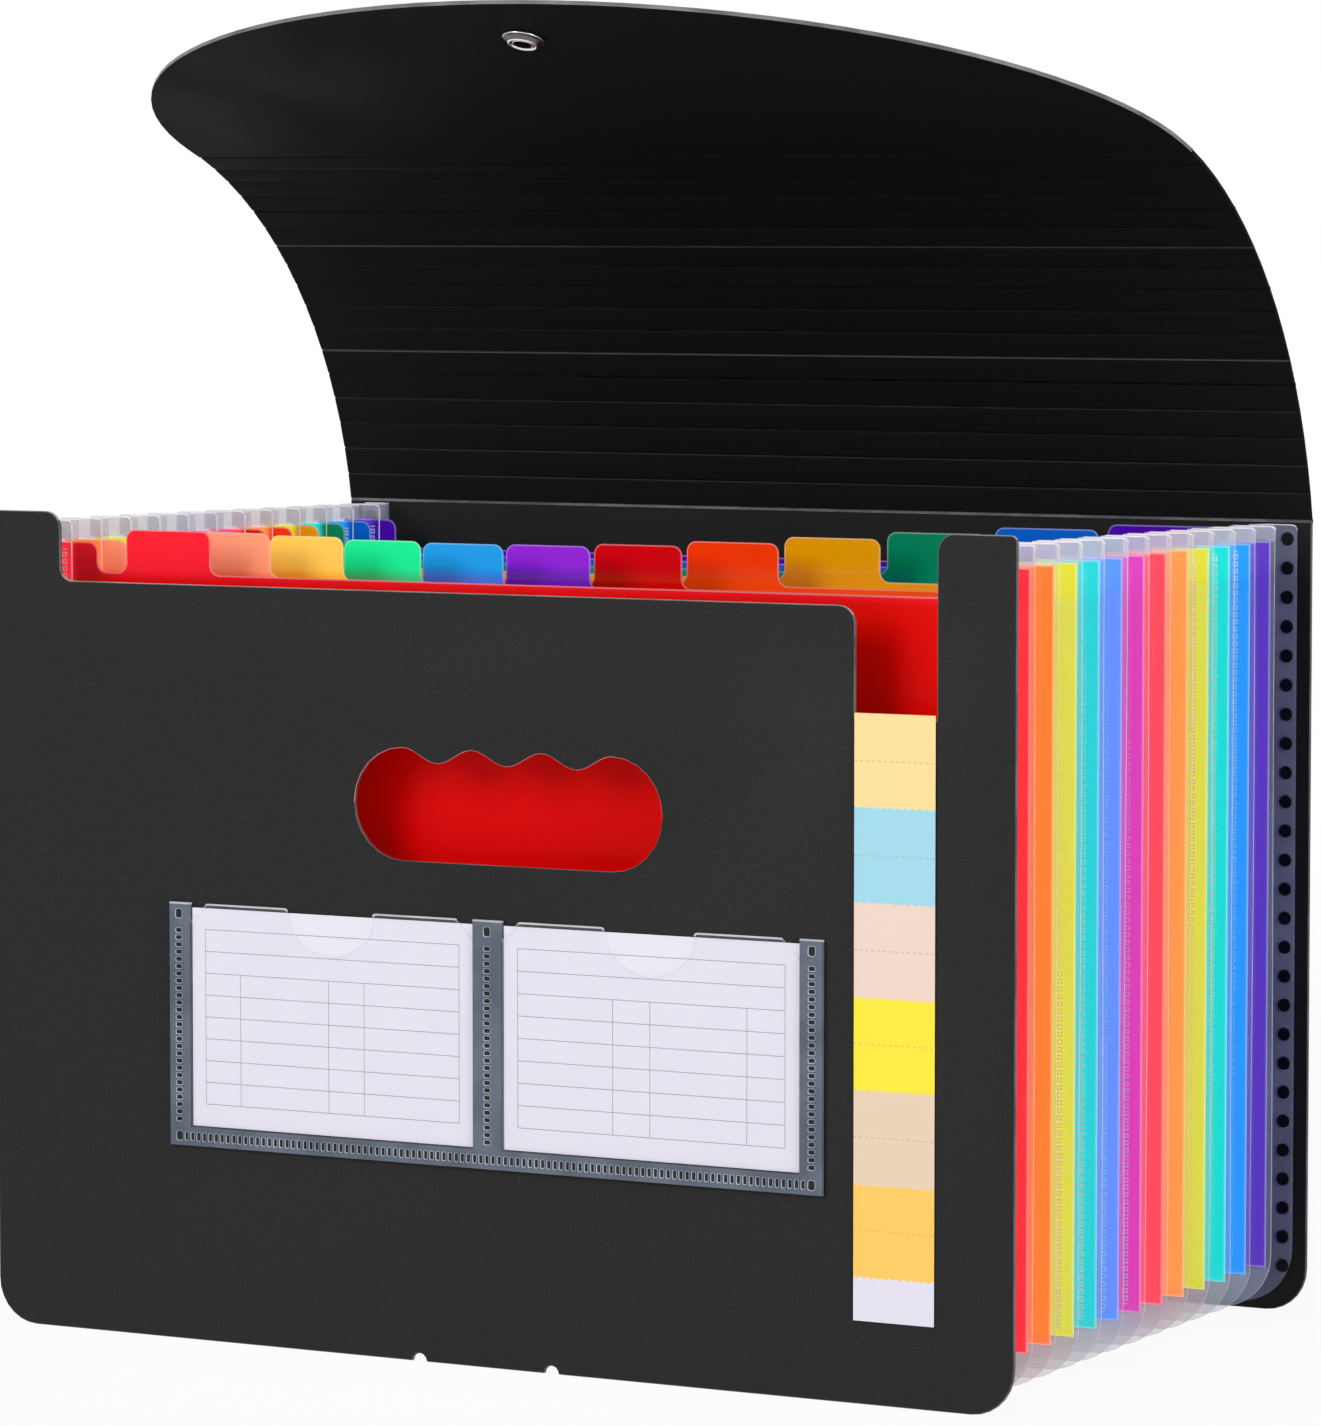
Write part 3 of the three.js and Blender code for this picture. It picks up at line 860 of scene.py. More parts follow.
@dataclass
class Studio:
    """Camera, floor, lamps and surroundings."""

    image_height: int = 1426
    focal_pixels: float = 6552
    sensor: float = 36
    camera_place: tuple[float, float, float] = (0.9245, -1.7725, 0.3206)
    yaw: float = math.radians(28.88)
    pitch: float = math.radians(4.26)
    aim: tuple[float, float, float] = (0, -0.1, 0.15)
    sky: float = 0.15
    floor_reach: float = 4.0
    floor_cells: int = 4
    floor_colour: Colour = grey(245)
    floor_roughness: float = 0.9
    floor_white: float = 0.93
    floor_fade: tuple[float, float] = (0.45, 1.6)
    clear_layers: int = 96
    lamps: list[Lamp] = field(default_factory=lambda: [
        Lamp("lamp_key", (-1.3, -3.1, 1.8), size=1.9, power=76),
        Lamp("lamp_side", (3.2, -1.0, 1.0), size=1.6, power=65),
        Lamp("lamp_above", (0.1, -0.6, 2.2), size=1.4, power=8),
    ])

    def make_camera(self) -> None:
        """Set the camera at the photograph's viewing angle."""
        data = bpy.data.cameras.new("camera")
        data.sensor_fit = "VERTICAL"
        data.sensor_height = self.sensor
        data.lens = self.sensor * self.focal_pixels / self.image_height
        camera = bpy.data.objects.new("camera", data)
        camera.location = self.camera_place
        camera.rotation_euler = (math.pi / 2 - self.pitch, 0, self.yaw)
        bpy.context.scene.collection.objects.link(camera)
        bpy.context.scene.camera = camera

    def make_lamps(self) -> None:
        """Hang the soft boxes."""
        for lamp in self.lamps:
            data = bpy.data.lights.new(lamp.name, "AREA")
            data.size = lamp.size
            data.energy = lamp.power
            light = bpy.data.objects.new(lamp.name, data)
            light.location = lamp.place
            towards = Vector(self.aim) - Vector(lamp.place)
            light.rotation_euler = towards.to_track_quat("-Z", "Y").to_euler()
            bpy.context.scene.collection.objects.link(light)

    def make_sky(self) -> None:
        """Surround the folder with even light that shows as white."""
        world = bpy.data.worlds.new("studio")
        world.use_nodes = True
        bpy.context.scene.world = world
        tree = world.node_tree
        seen = self.seen_share(tree)
        strength = tree.nodes.new("ShaderNodeMapRange")
        tree.links.new(seen, strength.inputs[0])
        strength.inputs[3].default_value = self.sky
        strength.inputs[4].default_value = 1.0
        background = tree.nodes["Background"]
        background.inputs["Color"].default_value = WHITE
        tree.links.new(strength.outputs[0], background.inputs["Strength"])

    def seen_share(self, tree: bpy.types.NodeTree) -> Socket:
        """1 on rays that show the surroundings, seen straight, mirrored or through glass.

        Args:
            tree: The node tree to add to.

        Returns:
            The share, 0 or 1.
        """
        rays = tree.nodes.new("ShaderNodeLightPath").outputs
        share = rays["Is Camera Ray"]
        for ray in ("Is Glossy Ray", "Is Transmission Ray"):
            larger = tree.nodes.new("ShaderNodeMath")
            larger.operation = "MAXIMUM"
            tree.links.new(share, larger.inputs[0])
            tree.links.new(rays[ray], larger.inputs[1])
            share = larger.outputs[0]
        return share

    def make_floor(self) -> None:
        """Lay a pale floor that shows nearly white, fades into the white behind it and keeps the shadow."""
        mesh = bmesh.new()
        cells = self.floor_cells
        bmesh.ops.create_grid(mesh, x_segments=cells, y_segments=cells, size=self.floor_reach)
        graph = Graph("floor_paper")
        graph.surface(Base_Color=self.floor_colour, Roughness=self.floor_roughness)
        tree = graph.tree
        glow = graph.node("ShaderNodeEmission", {"Color": WHITE, "Strength": 1.0})
        away = graph.node("ShaderNodeVectorMath", {0: graph.place()}, operation="LENGTH").outputs["Value"]
        white = graph.between(away, *self.floor_fade, self.floor_white, 1.0)
        share = graph.math("MULTIPLY", self.seen_share(tree), white)
        mixed = graph.node("ShaderNodeMixShader", {0: share})
        tree.links.new(graph.shader.outputs[0], mixed.inputs[1])
        tree.links.new(glow.outputs[0], mixed.inputs[2])
        tree.links.new(mixed.outputs[0], tree.nodes["Material Output"].inputs["Surface"])
        data = bpy.data.meshes.new("floor")
        mesh.to_mesh(data)
        mesh.free()
        data.materials.append(graph.material)
        floor = bpy.data.objects.new("floor", data)
        bpy.context.scene.collection.objects.link(floor)

    def build(self) -> None:
        """Set up everything that isn't part of the folder."""
        scene = bpy.context.scene
        scene.view_settings.view_transform = "Standard"
        scene.cycles.transparent_max_bounces = self.clear_layers
        self.make_camera()
        self.make_lamps()
        self.make_sky()
        self.make_floor()


# Covers


class CoverPlace(IntEnum):
    """Material places on a cover."""

    FLAT = 0
    EDGE = 1
    TOP_EDGE = 2
    HOLE_RIM = 3


class SheetPlace(IntEnum):
    """Material places on a cut sheet."""

    FLAT = 0
    EDGE = 1
    SCORE = 2
    BRIGHT_SCORE = 3
    FAINT_SCORE = 4
    TONGUE_SCORE = 5


@dataclass
class Covers:
    """The front and the back cover, with cut edges that take a painted highlight."""

    edge_round: float = 0.00028
    hole_round: float = 0.00045
    hole_low: tuple[float, float] = (-0.0435, 0.141)
    hole_high: tuple[float, float] = (0.0579, 0.1765)
    rim_dip: float = 0.05
    front: GrainedPlastic = GrainedPlastic("cover_charcoal", grey(34), grey(46), specular=0.1)
    back: GrainedPlastic = GrainedPlastic("cover_black", grey(16), grey(24))
    # Painted highlights: a faint grey one on every cut edge, a pale one on edges that face up, and a pinkish
    # one on the handle hole's upper rim.
    edge: CutEdge = CutEdge("cover_painted_highlight_on_cut_edge", grey(70), grey(96))
    top_edge: CutEdge = CutEdge("cover_painted_highlight_on_top_edge", grey(140), grey(165))
    hole_rim: CutEdge = CutEdge("cover_painted_highlight_on_hole_rim", srgb(225, 130, 130), srgb(240, 160, 160))

    def in_hole(self, point: Vector) -> bool:
        """Whether a point lies on the handle hole's edge, or within it."""
        across = self.hole_low[0] < point.x < self.hole_high[0]
        return across and self.hole_low[1] < point.z < self.hole_high[1]

    def dress(self, node: str, body: str, finish: GrainedPlastic, rounded: Callable[[Edge], bool]) -> None:
        """Round a cover's edges and give it its finish.

        Args:
            node: The cover's solid.
            body: The body that it moves with.
            finish: Its plastic.
            rounded: Test for the edges that are rounded.
        """
        mesh = node_mesh(node)
        edges = rim_edges(mesh, rounded)
        round_hole = [edge for edge in edges if all(self.in_hole(vert.co) for vert in edge.verts)]
        bevel(mesh, [edge for edge in edges if edge not in round_hole], self.edge_round)
        rim = bevel(mesh, round_hole, self.hole_round) if round_hole else []
        # Paint the highlights: cut edges, then upward edges, then the hole's downward-facing upper rim.
        paint(mesh.faces, CoverPlace.EDGE, lambda face: abs(face.normal.y) < EDGE_SHARE)
        paint(mesh.faces, CoverPlace.TOP_EDGE, lambda face: face.normal.z > STEEP_SHARE
              and not self.in_hole(face.calc_center_median()))
        paint(rim, CoverPlace.HOLE_RIM, lambda face: face.normal.z < -self.rim_dip and face.normal.y < 0)
        materials = materials_of(finish, self.edge, self.top_edge, self.hole_rim)
        piece = make_piece(f"{node}_sheet", mesh, materials)
        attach(piece, body)
        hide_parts(node)

    def build(self) -> None:
        """Make both covers."""
        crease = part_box("back_cover")[1].z

        def off_crease(edge: Edge) -> bool:
            """Whether an edge lies away from the crease."""
            return any(vert.co.z < crease - MERGE_DISTANCE for vert in edge.verts)

        self.dress("front_cover", "front", self.front, lambda edge: True)
        self.dress("back_cover", "back", self.back, off_crease)


# Flap


@dataclass
class Flap:
    """The scored flap: stiff panels and a tongue, with a thin hinge strip at each line that bends."""

    score_pitch: float = 0.0085
    panel_strips: tuple[int, ...] = (5, 4, 4, 4)
    first_lean: float = math.radians(11.5)
    tongue_lean: float = math.radians(70)
    score_depth: float = 0.00035
    crease_turn: float = math.radians(62)
    panel_turn: float = math.radians(48)
    fold_clearance: float = 0.0001
    tongue_length: float = 0.119
    edge_round: float = 0.00028
    # Score lines that carry a faint painted highlight
    faint_lines: tuple[int, ...] = (6, 11)
    line_reach: float = 0.0012
    plastic: GrainedPlastic = GrainedPlastic(
        "flap_black", grey(23), grey(29), roughness=0.6, specular=0.02,
    )
    # The cut edge's paler grey is a painted highlight and the scores' near-black is painted shade in the
    # grooves; the crease, the faint lines and the tongue's line carry painted highlights, the tongue's with a
    # painted glow.
    edge: CutEdge = CutEdge("flap_painted_highlight_on_cut_edge", grey(90), grey(120))
    score: CutEdge = CutEdge("flap_painted_shade_in_groove", grey(10), grey(22), specular=0.06)
    bright_score: CutEdge = CutEdge("flap_painted_highlight_on_crease", grey(92), grey(125), roughness=0.25)
    faint_score: CutEdge = CutEdge("flap_faint_painted_highlight_on_line", grey(38), grey(50), roughness=0.3)
    tongue_score: CutEdge = CutEdge("flap_painted_glow_on_tongue_line", grey(176), grey(196), roughness=0.3, glow=0.2)

    def __post_init__(self) -> None:
        """Work out the leans of the strips and the score lines between them."""
        count = sum(self.panel_strips)
        step = (self.tongue_lean - self.first_lean) / count
        self.leans = [0.0] + [self.first_lean + step * strip for strip in range(count + 1)]
        self.lines = [Vector((0, 0, CREASE_HEIGHT))]
        for lean in self.leans[1:-1]:
            self.lines.append(self.lines[-1] + self.up(lean) * self.score_pitch)

    @staticmethod
    def up(lean: float) -> Vector:
        """Direction up a strip."""
        return Vector((0, -math.sin(lean), math.cos(lean)))

    @staticmethod
    def out(lean: float) -> Vector:
        """Direction out of a strip's outer face."""
        return Vector((0, math.cos(lean), math.sin(lean)))

    def materials(self) -> list[Material]:
        """Materials in the order of the sheet's places."""
        scores = (self.score, self.bright_score, self.faint_score, self.tongue_score)
        return materials_of(self.plastic, self.edge, *scores)

    def is_score(self, face: Face) -> bool:
        """Whether a face of a panel is one side of a score line's groove.

        Args:
            face: The face.

        Returns:
            True in a groove.
        """
        span = [vert.co for vert in face.verts]
        height = max((a.yz - b.yz).length for a in span for b in span)
        return abs(face.normal.x) < STEEP_SHARE and height < self.line_reach

    def dress_panel(self, number: int, materials: list[Material]) -> None:
        """Round a panel's two ends and pick out its score lines.

        Args:
            number: The panel, counted from the crease.
            materials: The flap's materials.
        """
        node = f"flap_panel_{number}"
        mesh = node_mesh(node)
        paint(mesh.faces, SheetPlace.SCORE, self.is_score)
        for line in self.faint_lines:
            middle = self.lines[line]
            paint(
                mesh.faces, SheetPlace.FAINT_SCORE,
                lambda face: self.is_score(face)
                and (face.calc_center_median().yz - middle.yz).length < self.line_reach,
            )

        def at_end(edge: Edge) -> bool:
            """Whether an edge lies on one of the panel's two ends."""
            return all(abs(vert.co.x) > HALF_WIDTH - MERGE_DISTANCE for vert in edge.verts)

        bevel(mesh, rim_edges(mesh, at_end), self.edge_round)
        piece = make_piece(f"{node}_sheet", mesh, materials)
        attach(piece, node)
        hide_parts(node)

    def dress_tongue(self, materials: list[Material]) -> None:
        """Round the tongue's curved edge.

        Args:
            materials: The flap's materials.
        """
        mesh = node_mesh("flap_tongue")
        foot = self.lines[-1]
        along = self.up(self.leans[-1])
        out = self.out(self.leans[-1])

        def off_foot(edge: Edge) -> bool:
            """Whether an edge lies away from the tongue's foot."""
            return any((vert.co - foot).dot(along) > self.line_reach for vert in edge.verts)

        bevel(mesh, rim_edges(mesh, off_foot), self.edge_round)
        paint(mesh.faces, SheetPlace.EDGE, lambda face: abs(face.normal.dot(out)) < EDGE_SHARE)
        piece = make_piece("flap_tongue_sheet", mesh, materials)
        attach(piece, "flap_tongue")
        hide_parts("flap_tongue")

    def make_hinge(
        self, line: int, place: SheetPlace, materials: list[Material]
    ) -> None:
        """Make the thin strip that bends at a score line.

        Args:
            line: The score line, counted from the crease.
            place: Material place of the groove.
            materials: The flap's materials.
        """
        turn = self.crease_turn if line == 0 else self.panel_turn
        gap = SHEET / 2 * math.tan(turn / 2) + self.fold_clearance
        below, above = self.leans[line], self.leans[line + 1]
        middle = (below + above) / 2
        start = self.lines[line] - self.up(below) * gap
        end = self.lines[line] + self.up(above) * gap
        half = SHEET / 2
        thin = half - self.score_depth
        side = Vector((-HALF_WIDTH, 0, 0))
        points = [
            start + self.out(below) * half,
            self.lines[line] + self.out(middle) * half / math.cos((above - below) / 2),
            end + self.out(above) * half,
            end - self.out(above) * thin,
            self.lines[line] - self.out(middle) * thin,
            start - self.out(below) * thin,
        ]
        mesh = bmesh.new()
        ring = profile_ring(mesh, [point + side for point in points], closed=True)
        bmesh.ops.contextual_create(mesh, geom=ring)
        made = bmesh.ops.extrude_face_region(mesh, geom=mesh.faces[:])["geom"]
        bmesh.ops.translate(mesh, vec=-2 * side, verts=verts_in(made))
        bmesh.ops.recalc_face_normals(mesh, faces=mesh.faces)
        paint(mesh.faces, place, lambda face: face.normal.dot(self.out(middle)) < -STEEP_SHARE)
        piece = make_piece(f"flap_hinge_{line:02d}", mesh, materials)
        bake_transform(piece)

    def build(self) -> None:
        """Make the panels, the tongue and the strips that join them."""
        materials = self.materials()
        panels = [f"flap_panel_{number + 1}" for number in range(len(self.panel_strips))]
        bodies = ["back", *panels, "flap_tongue"]
        line = 0
        # The crease and the tongue's line take painted highlights, the other hinges painted shade in their
        # grooves.
        bright = {"back": SheetPlace.BRIGHT_SCORE, panels[-1]: SheetPlace.TONGUE_SCORE}
        for number, pair in enumerate(zip(bodies, bodies[1:])):
            self.make_hinge(line, bright.get(pair[0], SheetPlace.SCORE), materials)
            if number < len(self.panel_strips):
                self.dress_panel(number + 1, materials)
                line += self.panel_strips[number]
        self.dress_tongue(materials)


class SnapPlace(IntEnum):
    """Material places on the press fastener: rims with a painted highlight, flats with a painted dimmer
    sheen, and a recess with painted shade.
    """

    BRIGHT = 0
    DULL = 1
    RECESS = 2


@dataclass
class PressFastener:
    """The press fastener on the tongue: a cap outside, its post through the sheet, a socket ring inside."""

    flap: Flap
    inset: float = 0.025
    radius: float = 0.006
    crown: float = 0.0042
    post: float = 0.002
    bore: float = 0.0023
    lip: float = 0.0044
    cap_height: float = 0.0014
    socket_height: float = 0.0022
    dimple: float = 0.0014
    seat: float = 0.0003
    steps: int = 48
    edge_round: float = 0.00018
    edge_steps: int = 3
    soften: float = 0.0002
    crown_drop: float = 0.0001
    lip_drop: float = 0.0003
    groove: float = 0.0006
    well: float = 0.0012
    # Shares of the radii and of the cap's height, along the two profiles
    crown_flat: float = 0.6
    shoulder: float = 0.9
    shoulder_drop: float = 0.25
    wall: float = 0.4
    post_tip: float = 0.8
    dimple_floor: float = 0.62
    lip_foot: float = 1.12
    lip_flat: tuple[float, float] = (0.94, 0.86)
    groove_flat: tuple[float, float] = (0.8, 0.7)
    ring_flat: tuple[float, float] = (0.67, 0.59)
    # Painted light on one nickel: the pale rims are painted highlights, the grey flats a painted dimmer
    # sheen, and the near-black hollow painted shade.
    bright: BrushedMetal = BrushedMetal("snap_rim_painted_highlight", srgb(236, 236, 238), roughness=0.3)
    dull: BrushedMetal = BrushedMetal("snap_flat_rougher_painted_dim", srgb(104, 104, 107), roughness=0.4)
    recess: BrushedMetal = BrushedMetal("snap_hollow_painted_shade", srgb(24, 24, 26), roughness=0.5)
    recess_share: float = 0.61
    dull_shares: tuple[tuple[float, float], ...] = ((0.69, 0.81), (1.03, 1.26))

    def turn(
        self, name: str, profile: list[tuple[float, float]], closed: bool, metals: list[Material]
    ) -> None:
        """Turn a profile about the fastener's axis.

        Args:
            name: Name of the piece, after the solid that it stands for.
            profile: Radius and height of each point, with height out of the tongue's inner face.
            closed: Whether the profile closes on itself.
            metals: The metal with a painted highlight for the rims, the rougher one with a painted dimmer
                sheen for the flats, and the near-black one that paints shade into the hollow.
        """
        mesh = bmesh.new()
        ring = profile_ring(mesh, [Vector((radius, 0, height)) for radius, height in profile], closed)
        bmesh.ops.spin(
            mesh, geom=[*mesh.verts, *ring], cent=(0, 0, 0), axis=(0, 0, 1), dvec=(0, 0, 0),
            angle=2 * math.pi, steps=self.steps, use_merge=True,
        )
        close_up(mesh)
        bevel(mesh, rim_edges(mesh), self.edge_round, self.edge_steps)
        # Rims take the painted highlight, the flats between them the painted dimmer sheen, and the hollow of
        # post and bore painted shade.
        for face in mesh.faces:
            share = face.calc_center_median().xy.length / self.lip
            dull = any(low < share < high for low, high in self.dull_shares)
            metal = SnapPlace.DULL if dull else SnapPlace.BRIGHT
            face.material_index = SnapPlace.RECESS if share < self.recess_share else metal
        lean = self.flap.leans[-1]
        up, out = self.flap.up(lean), self.flap.out(lean)
        middle = self.flap.lines[-1] + up * (self.flap.tongue_length - self.inset)
        axes = Matrix((Vector((1, 0, 0)), up, -out)).transposed().to_4x4()
        bmesh.ops.transform(mesh, matrix=Matrix.Translation(middle) @ axes, verts=mesh.verts)
        piece = make_piece(f"{name}_metal", mesh, metals)
        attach(piece, "flap_tongue")
        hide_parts(name)

    def build(self) -> None:
        """Make the cap and the socket."""
        metals = materials_of(self.bright, self.dull, self.recess)
        inner = SHEET / 2 + self.seat
        crown = -inner - self.cap_height
        post_top = inner + self.socket_height / 2
        rim = inner + self.socket_height / 4
        top = inner + self.socket_height
        self.turn("snap_cap", [
            (0, crown), (self.crown * self.crown_flat, crown), (self.crown, crown + self.crown_drop),
            (self.radius * self.shoulder, crown + self.cap_height * self.shoulder_drop),
            (self.radius, -inner - self.cap_height * self.wall), (self.radius, -inner),
            (self.post, -inner), (self.post, post_top),
            (self.post * self.post_tip, post_top + self.soften),
            (self.post * self.dimple_floor, post_top - self.dimple), (0, post_top - self.dimple),
        ], False, metals)
        self.turn("snap_socket", [
            (self.bore, inner), (self.radius, inner), (self.radius, rim),
            (self.lip * self.lip_foot, rim + self.soften), (self.lip, top - self.lip_drop),
            *((self.lip * share, top) for share in self.lip_flat),
            *((self.lip * share, top - self.groove) for share in self.groove_flat),
            *((self.lip * share, top - self.soften) for share in self.ring_flat),
            (self.bore, top - self.well),
        ], True, metals)


# Dividers


@dataclass(frozen=True)
class DividerColour:
    """A colour of the dividers, which looks lighter in the front run than in the back run."""

    slot: str
    front: Shades
    back: Shades
    cover: float = 0.72


@dataclass
class Dividers:
    """Twelve tabbed sheets in two runs of six colours."""

    rim: float = 0.0004
    rim_lift: float = 0.18
    colours: tuple[DividerColour, ...] = (
        DividerColour(
            "divider_red",
            Shades(srgb(230, 0, 4), srgb(255, 30, 50), srgb(255, 42, 60)),
            Shades(srgb(222, 0, 6), srgb(228, 0, 12), srgb(255, 71, 90)),
            cover=0.8,
        ),
        DividerColour(
            "divider_orange",
            Shades(srgb(255, 100, 25), srgb(255, 168, 130), srgb(255, 122, 44)),
            Shades(srgb(250, 75, 10), srgb(252, 62, 0), srgb(255, 152, 76)),
        ),
        DividerColour(
            "divider_yellow",
            Shades(srgb(255, 188, 10), srgb(255, 222, 96), srgb(212, 218, 50)),
            Shades(srgb(238, 170, 4), srgb(228, 164, 0), srgb(212, 216, 50)),
        ),
        DividerColour(
            "divider_teal",
            Shades(srgb(0, 205, 140), srgb(30, 255, 170), srgb(20, 206, 216)),
            Shades(srgb(0, 150, 105), srgb(0, 136, 98), srgb(0, 216, 214)),
        ),
        DividerColour(
            "divider_blue",
            Shades(srgb(0, 128, 245), srgb(40, 172, 255), srgb(88, 146, 248)),
            Shades(srgb(0, 105, 215), srgb(0, 98, 210), srgb(28, 152, 248)),
        ),
        DividerColour(
            "divider_purple",
            Shades(srgb(104, 22, 196), srgb(165, 44, 230), srgb(218, 60, 178)),
            Shades(srgb(84, 12, 172), srgb(80, 4, 174), srgb(92, 50, 186)),
        ),
    )

    def dress(self, number: int) -> None:
        """Give a divider its colour and a paler rim.

        Args:
            number: The divider, counted from the front.
        """
        node = f"divider_{number:02d}"
        colour = self.colours[(number - 1) % len(self.colours)]
        shades = colour.front if number <= len(self.colours) else colour.back
        mesh = node_mesh(node)
        flats = [face for face in mesh.faces if abs(face.normal.y) > FLAT_SHARE]
        bmesh.ops.inset_region(mesh, faces=flats, thickness=self.rim, use_boundary=True, use_even_offset=True)
        inner = set(flats)
        paint(mesh.faces, SheetPlace.EDGE, lambda face: face not in inner)
        sheet = DividerPlastic(f"{node}_plastic", shades, colour.cover)
        rim = DividerPlastic(f"{node}_rim", shades.lifted(self.rim_lift), colour.cover)
        piece = make_piece(f"{node}_sheet", mesh, materials_of(sheet, rim))
        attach(piece, node)
        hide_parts(node)

    def build(self) -> None:
        """Make all the dividers."""
        for number in range(1, DIVIDERS + 1):
            self.dress(number)


# Gussets


class FilmPlace(IntEnum):
    """Material places on a gusset."""

    PANEL = 0
    LINE = 1
    WELD = 2
    STRIP = 3


@dataclass
class Gussets:
    """Pleated film round both sides and the bottom, one strip between each sheet and the next."""

    floor: float = 0.0025
    top: float = 0.233
    corner: float = 0.0165
    corner_steps: int = 10
    side_steps: int = 8
    pleat: float = 0.012
    weld: float = 0.015
    cover_margin: float = 0.0044
    cover_weld: float = 0.0098
    lie: float = 0.00028
    cover_lie: float = 0.0008
    thickness: float = 0.00016
    fold_round: float = 0.00016
    top_corner: float = 0.0015
    top_rise: float = 0.002
    line: float = 0.00036
    ripple: float = 0.0002
    ripple_length: float = 0.045
    ripple_turn: float = 2.4
    lying_share: float = 0.98
    fold_steps: int = 3
    # Gussets whose weld marks show a painted highlight: left_marked on the left side, high_marked on the
    # right stronger towards the top, low_marked on the right stronger towards the bottom; dull_mark is the
    # least anywhere.
    left_marked: tuple[int, ...] = (1, 11, 12)
    high_marked: tuple[int, ...] = (9, 10, 11)
    low_marked: tuple[int, ...] = (3, 4, 5, 6)
    dull_mark: float = 0.08
    spots: int = 26
    spot_radius: float = 0.002
    spot_taper: float = 0.94
    spot_sides: int = 20
    spot_rise: float = 0.00025
    spot_gap: float = 0.00004
    spot_margin: float = 0.0075
    spot_top: float = 0.2287
    spot_floor: float = 0.0135
    panel: GussetFilm = GussetFilm("gusset_film")
    # The near-white line material is partly the film's own whiteness at folds and cut edges and partly a
    # painted highlight.
    bright: FrostedFilm = FrostedFilm("gusset_line", srgb(250, 250, 255), cover=0.6, roughness=0.2)
    welded: WeldedFilm = WeldedFilm("gusset_weld")
    strip: FrostedFilm = FrostedFilm("gusset_cover_strip", srgb(172, 178, 206), cover=0.23)
    spot: GrainedPlastic = GrainedPlastic(
        "weld_spot_black", srgb(9, 9, 10), srgb(16, 16, 18), roughness=0.4,
    )

    def __post_init__(self) -> None:
        """Work out the middles of the bottom corners, and where the top corners have their points."""
        self.bend_x = RIDGE_X - self.corner
        self.bend_z = self.floor + self.corner
        self.corner_points = (self.top_corner / 3, self.top_corner)

    def lies(self, number: int) -> tuple[float, float]:
        """How far a gusset's film lies from the middles of its front and back sheets.

        Args:
            number: The gusset, counted from the front.

        Returns:
            The distances at the front and at the back.
        """
        front = self.cover_lie if number == 1 else self.lie
        back = self.cover_lie if number == DIVIDERS + 1 else self.lie
        return front, back

    def half_section(self, y: float, on_cover: bool) -> list[tuple[float, float]]:
        """Half of a gusset's section, from the film's free edge to just before the valley.

        Args:
            y: Depth of the film where it lies on its sheet.
            on_cover: Whether the sheet is a cover.

        Returns:
            Points as distance inward from the ridge, and depth.
        """
        if on_cover:
            edge = self.cover_margin - (HALF_WIDTH - RIDGE_X) - ridge_drift(y)
            steps = [edge, *(edge + point for point in self.corner_points), edge + self.cover_weld]
        else:
            inner = [self.weld - step for step in (0.0, self.line, *self.corner_points)]
            steps = [*inner, *reversed(self.corner_points), 0.0]
        return [(inward, y) for inward in steps]

    def section(self, number: int) -> list[tuple[float, float]]:
        """A gusset's whole section, from front to back.

        Args:
            number: The gusset, counted from the front.

        Returns:
            Points as distance inward from the ridge, and depth.
        """
        front, back = sheet_y(number - 1), sheet_y(number)
        front_lie, back_lie = self.lies(number)
        valley = (self.pleat, (front + back) / 2)
        before = self.half_section(front + front_lie, number == 1)
        after = self.half_section(back - back_lie, number == DIVIDERS + 1)
        points = list(before)
        for start, end in ((before[-1], valley), (valley, after[-1])):
            for inward in sorted(self.corner_points, reverse=end[0] < start[0]):
                share = (inward - start[0]) / (end[0] - start[0])
                if 0 < share < 1:
                    points.append((inward, start[1] + share * (end[1] - start[1])))
            if end is valley:
                points.append(valley)
        return points + after[::-1]

    def sweep(self, mesh: Mesh, section: list[tuple[float, float]]) -> None:
        """Draw a section down the left side, along the bottom and up the right side.

        Args:
            mesh: The bmesh to add to.
            section: The section's points.
        """
        ring = profile_ring(mesh, [Vector((-RIDGE_X + inward, y, self.top)) for inward, y in section])
        bend_x, bend_z = self.bend_x, self.bend_z
        side = self.top - self.line - bend_z
        ring = extrude_ring(mesh, ring, Vector((0, 0, -self.line)))
        for _ in range(self.side_steps):
            ring = extrude_ring(mesh, ring, Vector((0, 0, -side / self.side_steps)))
        ring = self.turn_corner(mesh, ring, Vector((-bend_x, 0, bend_z)))
        for _ in range(self.side_steps):
            ring = extrude_ring(mesh, ring, Vector((2 * bend_x / self.side_steps, 0, 0)))
        ring = self.turn_corner(mesh, ring, Vector((bend_x, 0, bend_z)))
        for _ in range(self.side_steps):
            ring = extrude_ring(mesh, ring, Vector((0, 0, side / self.side_steps)))
        extrude_ring(mesh, ring, Vector((0, 0, self.line)))

    def turn_corner(self, mesh: Mesh, ring: list[Edge], centre: Vector) -> list[Edge]:
        """Draw the film round a bottom corner.

        Args:
            mesh: The bmesh to change.
            ring: The edges to draw round.
            centre: Centre of the corner.

        Returns:
            The edges at the far side.
        """
        verts = dict.fromkeys(vert for edge in ring for vert in edge.verts)
        made = bmesh.ops.spin(
            mesh, geom=[*verts, *ring], cent=centre, axis=(0, -1, 0), dvec=(0, 0, 0),
            angle=math.pi / 2, steps=self.corner_steps,
        )["geom_last"]
        return edges_in(made)

